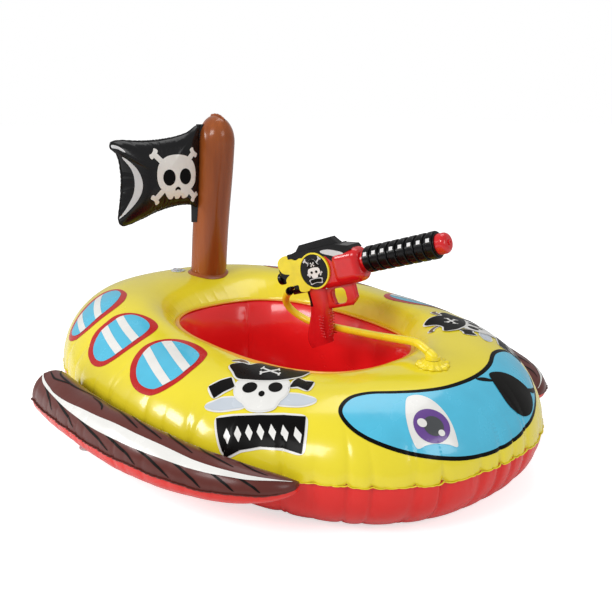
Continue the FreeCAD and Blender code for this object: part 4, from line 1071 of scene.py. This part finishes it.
# ------------------------------------------------------------------ hose
def route_line():
    """The hose's centreline, in metres: a NURBS spline with the route's points as its controls."""
    curve = bpy.data.curves.new("hose_route", "CURVE")
    curve.dimensions = "3D"
    spline = curve.splines.new("NURBS")
    spline.points.add(len(HOSE_ROUTE_M) - 1)
    for point, place in zip(spline.points, HOSE_ROUTE_M):
        point.co = (*place, 1.0)
    spline.order_u = 3
    spline.use_endpoint_u = True
    spline.resolution_u = 10
    carrier = bpy.data.objects.new("hose_route", curve)
    bpy.context.scene.collection.objects.link(carrier)
    bpy.context.view_layer.update()
    mesh = bpy.data.meshes.new_from_object(carrier)
    points = np.array([v.co for v in mesh.vertices])
    bpy.data.objects.remove(carrier)
    return points


def make_hose():
    line = route_line()
    keep = np.concatenate([[True], np.linalg.norm(np.diff(line, axis=0), axis=1) > 1e-5])
    line = line[keep]
    mesh = tube("supply_hose_film", line / MM, HOSE_RADIUS, 24)
    hose = finish_piece("supply_hose_film", mesh, "hose", body=None, replaces=["supply_hose"])
    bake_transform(hose)


make_hose()


def make_fitting_boot():
    """Puckered ring of film drawn up round the pipe where it leaves the deck."""
    turns = np.linspace(0, 2 * math.pi, 156, endpoint=False)
    pleat = np.sin(13 * turns) + 0.35 * np.sin(5 * turns + 1.0)
    rows = []
    for radius, height, share in ((10.6, 9.0, 0.0), (12.6, 8.6, 0.1), (14.6, 5.6, 0.3), (17.4, 3.6, 0.7),
                                  (20.6, 4.2, 1.0), (23.4, 3.0, 1.1), (24.6, 0.6, 1.2), (21.0, -0.9, 0.2),
                                  (10.6, -0.9, 0.0)):
        r = radius + 0.9 * share * pleat
        x, y = 368.0 + r * np.cos(turns), r * np.sin(turns)
        ground_z = np.array([on_deck(px, py)[0] for px, py in zip(x, y)])
        rows.append(np.stack([x, y, ground_z + height + 0.8 * share * pleat * (height > 1)], -1))
    finish_piece("fitting_boot", grid_mesh("fitting_boot", np.stack(rows, 1), wrap_u=True, wrap_v=True, flip=True),
                 "fitting")


make_fitting_boot()

# ------------------------------------------------------------------ squirter
GUN_ORIGIN = np.array([86.8, 44.5, 289.7])
yaw, pitch = math.radians(15.0), math.radians(17.0)
GUN_ALONG = np.array([math.cos(yaw) * math.cos(pitch), math.sin(yaw) * math.cos(pitch), math.sin(pitch)])
GUN_SIDE = np.array([-math.sin(yaw), math.cos(yaw), 0.0])
GUN_UP = np.cross(GUN_ALONG, GUN_SIDE)


def gun_point(x, y, z):
    x, y, z = np.broadcast_arrays(np.asarray(x, float), np.asarray(y, float), np.asarray(z, float))
    return GUN_ORIGIN + x[..., None] * GUN_ALONG + y[..., None] * GUN_SIDE + z[..., None] * GUN_UP


def gun_plane(side, reach):
    """Flat drawing plane on a side of the squirter."""
    def both(x, z):
        points = gun_point(x, side * reach, z)
        return points, np.broadcast_to(GUN_SIDE * side, points.shape)
    return both


BADGE_X, BADGE_Z = -20.5, 1.0


def decorate_badge(side, tag):
    surface = gun_plane(side, 19.6)

    def part(name, outline, mat, layer):
        shape = np.asarray(outline, float) + [BADGE_X, BADGE_Z]
        decal(f"badge_{tag}_{name}", surface, shape, mat, layer, 1.6, "squirter", 0.1)

    for i, ends in enumerate([(-16, 20, 13, -6), (16, 20, -13, -6)]):
        part(f"bone_{i}", bone(*ends, 2.6, 3.0), "silver_print_and_highlight", 0)
    hat = smooth_closed([(-14, 7), (-9, 12), (-6, 18), (0, 21), (6, 18), (9, 12), (14, 7), (0, 4)], 5)
    part("hat_edge", inset(resample(hat, 0.8), -0.9), "silver_print_and_highlight", 1)
    part("hat", hat, "print_ink", 2)
    part("head", smooth_closed([(-11, 4), (-13, -4), (-7, -8), (-5, -12), (5, -12), (7, -8), (13, -4), (11, 4),
                                (0, 6)], 5), "print_white", 3)
    for name, x in (("eye_a", -5), ("eye_b", 5)):
        part(name, ellipse(x, -2, 2.7, 2.4, count=16), "print_ink", 4)
    for i, ends in enumerate([(-3, 14, 3, 9), (3, 14, -3, 9)]):
        part(f"hat_bone_{i}", bone(*ends, 1.1, 1.2), "print_white", 4)
    plate = smooth_closed([(-14, -14), (0, -12.5), (14, -14), (13, -19), (12, -23), (0, -21), (-12, -23),
                           (-13, -19)], 5)
    part("plate_edge", plate, "silver_print_and_highlight", 1)
    part("plate", inset(resample(plate, 0.8), 1.3), "print_ink", 2)


def tilted_block(name, centre, size, mat, lean=0.0, round_off=0.35):
    """Small rounded bar in the squirter's frame, proud of its surface."""
    mesh = bpy.data.meshes.new(name)
    half = np.array(size) / 2.0
    rings = []
    for share in (-1.0, -0.8, 0.8, 1.0):
        pull = round_off if abs(share) == 1.0 else 1.0
        ring = []
        for turn in np.linspace(0, 2 * math.pi, 16, endpoint=False):
            c, s_ = math.cos(turn), math.sin(turn)
            x = half[0] * math.copysign(abs(c) ** 0.6, c) * pull
            y = half[1] * math.copysign(abs(s_) ** 0.6, s_) * pull
            z = half[2] * share
            ring.append((centre[0] + x * math.cos(lean) + z * math.sin(lean), centre[1] + y,
                         centre[2] - x * math.sin(lean) + z * math.cos(lean)))
        rings.append(ring)
    local = np.array(rings)
    local = np.concatenate([local[:1].mean(axis=1, keepdims=True).repeat(16, 1), local,
                            local[-1:].mean(axis=1, keepdims=True).repeat(16, 1)])
    grid = gun_point(local[..., 0], local[..., 1], local[..., 2])
    bpy.data.meshes.remove(mesh)
    return finish_piece(name, grid_mesh(name, grid, wrap_v=True), mat, body="squirter")


def decorate_squirter():
    for side, tag in ((-1, "near"), (1, "far")):
        decorate_badge(side, tag)
        flash = smooth_closed([(1, 32), (16, 32), (33, 27), (47, 20), (37, 15), (20, 21), (5, 27)], 6)
        decal(f"cover_flash_{tag}", gun_plane(side, 18.7), flash, "silver_print_and_highlight", 1, 3.0, "squirter",
              0.3)
        for i in range(8):
            z = -81 - 5.0 * i
            tilted_block(f"grip_rib_{tag}_{i}", (-31.0 + 0.1 * (z + 81) - 2.0 * math.sin(i / 2.4), side * 16.9, z),
                         (11.0 - 0.5 * i, 2.2, 2.2), "gun_red", lean=0.35)
    for i in range(8):
        z = -79 - 5.4 * i
        tilted_block(f"front_rib_{i}", (-21.0 + 0.25 * (z + 79), 0.0, z), (4.4, 13.0, 2.6), "gun_red")


decorate_squirter()


def make_trigger_spring():
    """Coil behind the trigger."""
    turn = np.linspace(0, 2 * math.pi * 5.5, 150)
    x = np.linspace(-23.2, -12.2, 150)
    coil = tube("trigger_coil", gun_point(x, 2.1 * np.cos(turn), -52 + 2.1 * np.sin(turn)), 0.42, 8)
    spring = finish_piece("trigger_coil", coil, "steel", body="squirter", replaces=["trigger_spring"])
    tuple(gun_point(-23.6, 0, -52) * MM)
    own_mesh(spring)


make_trigger_spring()

# ------------------------------------------------------------------ finishes of the CAD parts that stay
FINISH = {
    "gun_red": ["gun_left_shell", "gun_right_shell", "trigger", "nose_bush", "nozzle"],
    "gun_black": ["gun_rear_cap", "gun_top_cover", "gun_rear_knob", "pump_sleeve", "hose_nipple",
                  "badge_disc_left", "badge_disc_right"],
    "gun_yellow": ["side_panel_left", "side_panel_right", "badge_ring_left", "badge_ring_right"],
    "gun_white": ["sleeve_windows"],
    "steel": ["trigger_pin", "trigger_spring", "gun_screws", "inlet_valve_ball"],
    "rubber": ["piston_ring"],
    "pipe": ["water_pipe", "intake_strainer", "inlet_pipe", "pump_cylinder", "inlet_valve_seat", "pump_rod",
             "piston"],
    "fitting": ["hose_fitting_flange", "hose_fitting_elbow"],
    "clear": [place + part for place in ("hull", "mast", "near_float", "far_float")
              for part in ("_valve", "_plug")],
}
for finish, names in FINISH.items():
    for node_name in names:
        node = NODES[node_name]
        node.data.materials.clear()
        node.data.materials.append(MAT[finish])

# ------------------------------------------------------------------ camera, light and floor
CAMERA_M, TARGET_M, LENS = Vector((1.097, -0.834, 0.576)), Vector((-0.047, 0.100, 0.184)), 46.43
camera = bpy.data.objects.new("camera", bpy.data.cameras.new("camera"))
bpy.context.scene.collection.objects.link(camera)
camera.location = CAMERA_M
camera.rotation_mode = "QUATERNION"
camera.rotation_quaternion = (TARGET_M - CAMERA_M).to_track_quat("-Z", "Y")
camera.data.lens = LENS
camera.data.sensor_width = 36.0
bpy.context.scene.camera = camera


def softbox(name, place, aim, width, height, power, tint=(1, 1, 1)):
    lamp = bpy.data.objects.new(name, bpy.data.lights.new(name, "AREA"))
    lamp.data.shape = "RECTANGLE"
    lamp.data.size, lamp.data.size_y = width, height
    lamp.data.energy = power
    lamp.data.color = tint
    lamp.location = place
    lamp.rotation_mode = "QUATERNION"
    lamp.rotation_quaternion = (Vector(aim) - Vector(place)).to_track_quat("-Z", "Y")
    bpy.context.scene.collection.objects.link(lamp)


softbox("key", (0.5, -2.4, 1.9), (0, 0, 0.15), 1.3, 0.9, 30)
softbox("window", (-1.2, -1.9, 1.05), (0, 0, 0.2), 0.8, 0.55, 16)
softbox("front", (2.3, 0.2, 1.3), (0, 0, 0.15), 0.9, 1.0, 10)
softbox("top", (-0.3, 0.6, 2.4), (0, 0, 0.1), 1.6, 1.2, 14)
world = bpy.data.worlds.new("studio")
world.use_nodes = True
sky = world.node_tree.nodes["Background"]
sky.inputs["Color"].default_value = (1.0, 1.0, 1.0, 1.0)
path = world.node_tree.nodes.new("ShaderNodeLightPath")
level = world.node_tree.nodes.new("ShaderNodeMapRange")
level.inputs["To Min"].default_value = 0.46
level.inputs["To Max"].default_value = 1.0
world.node_tree.links.new(path.outputs["Is Camera Ray"], level.inputs["Value"])
world.node_tree.links.new(level.outputs["Result"], sky.inputs["Strength"])
bpy.context.scene.world = world
bpy.context.scene.view_settings.view_transform = "Standard"
bpy.ops.mesh.primitive_plane_add(size=30)
ground = bpy.context.object
ground.name = "studio_floor"
ground.location.z = -0.0006
paper = material("studio_floor", (0.86, 0.86, 0.86), roughness=0.9, shine=0.0, mottle=0.005, grain=0.0)
paper.node_tree.nodes["Principled BSDF"].inputs["Emission Color"].default_value = (1.0, 1.0, 1.0, 1.0)
seen = paper.node_tree.nodes.new("ShaderNodeLightPath")
glow = paper.node_tree.nodes.new("ShaderNodeMapRange")
glow.inputs["To Min"].default_value = 0.0
glow.inputs["To Max"].default_value = 0.66
paper.node_tree.links.new(seen.outputs["Is Camera Ray"], glow.inputs["Value"])
paper.node_tree.links.new(glow.outputs["Result"], paper.node_tree.nodes["Principled BSDF"].inputs["Emission Strength"])
ground.data.materials.append(paper)
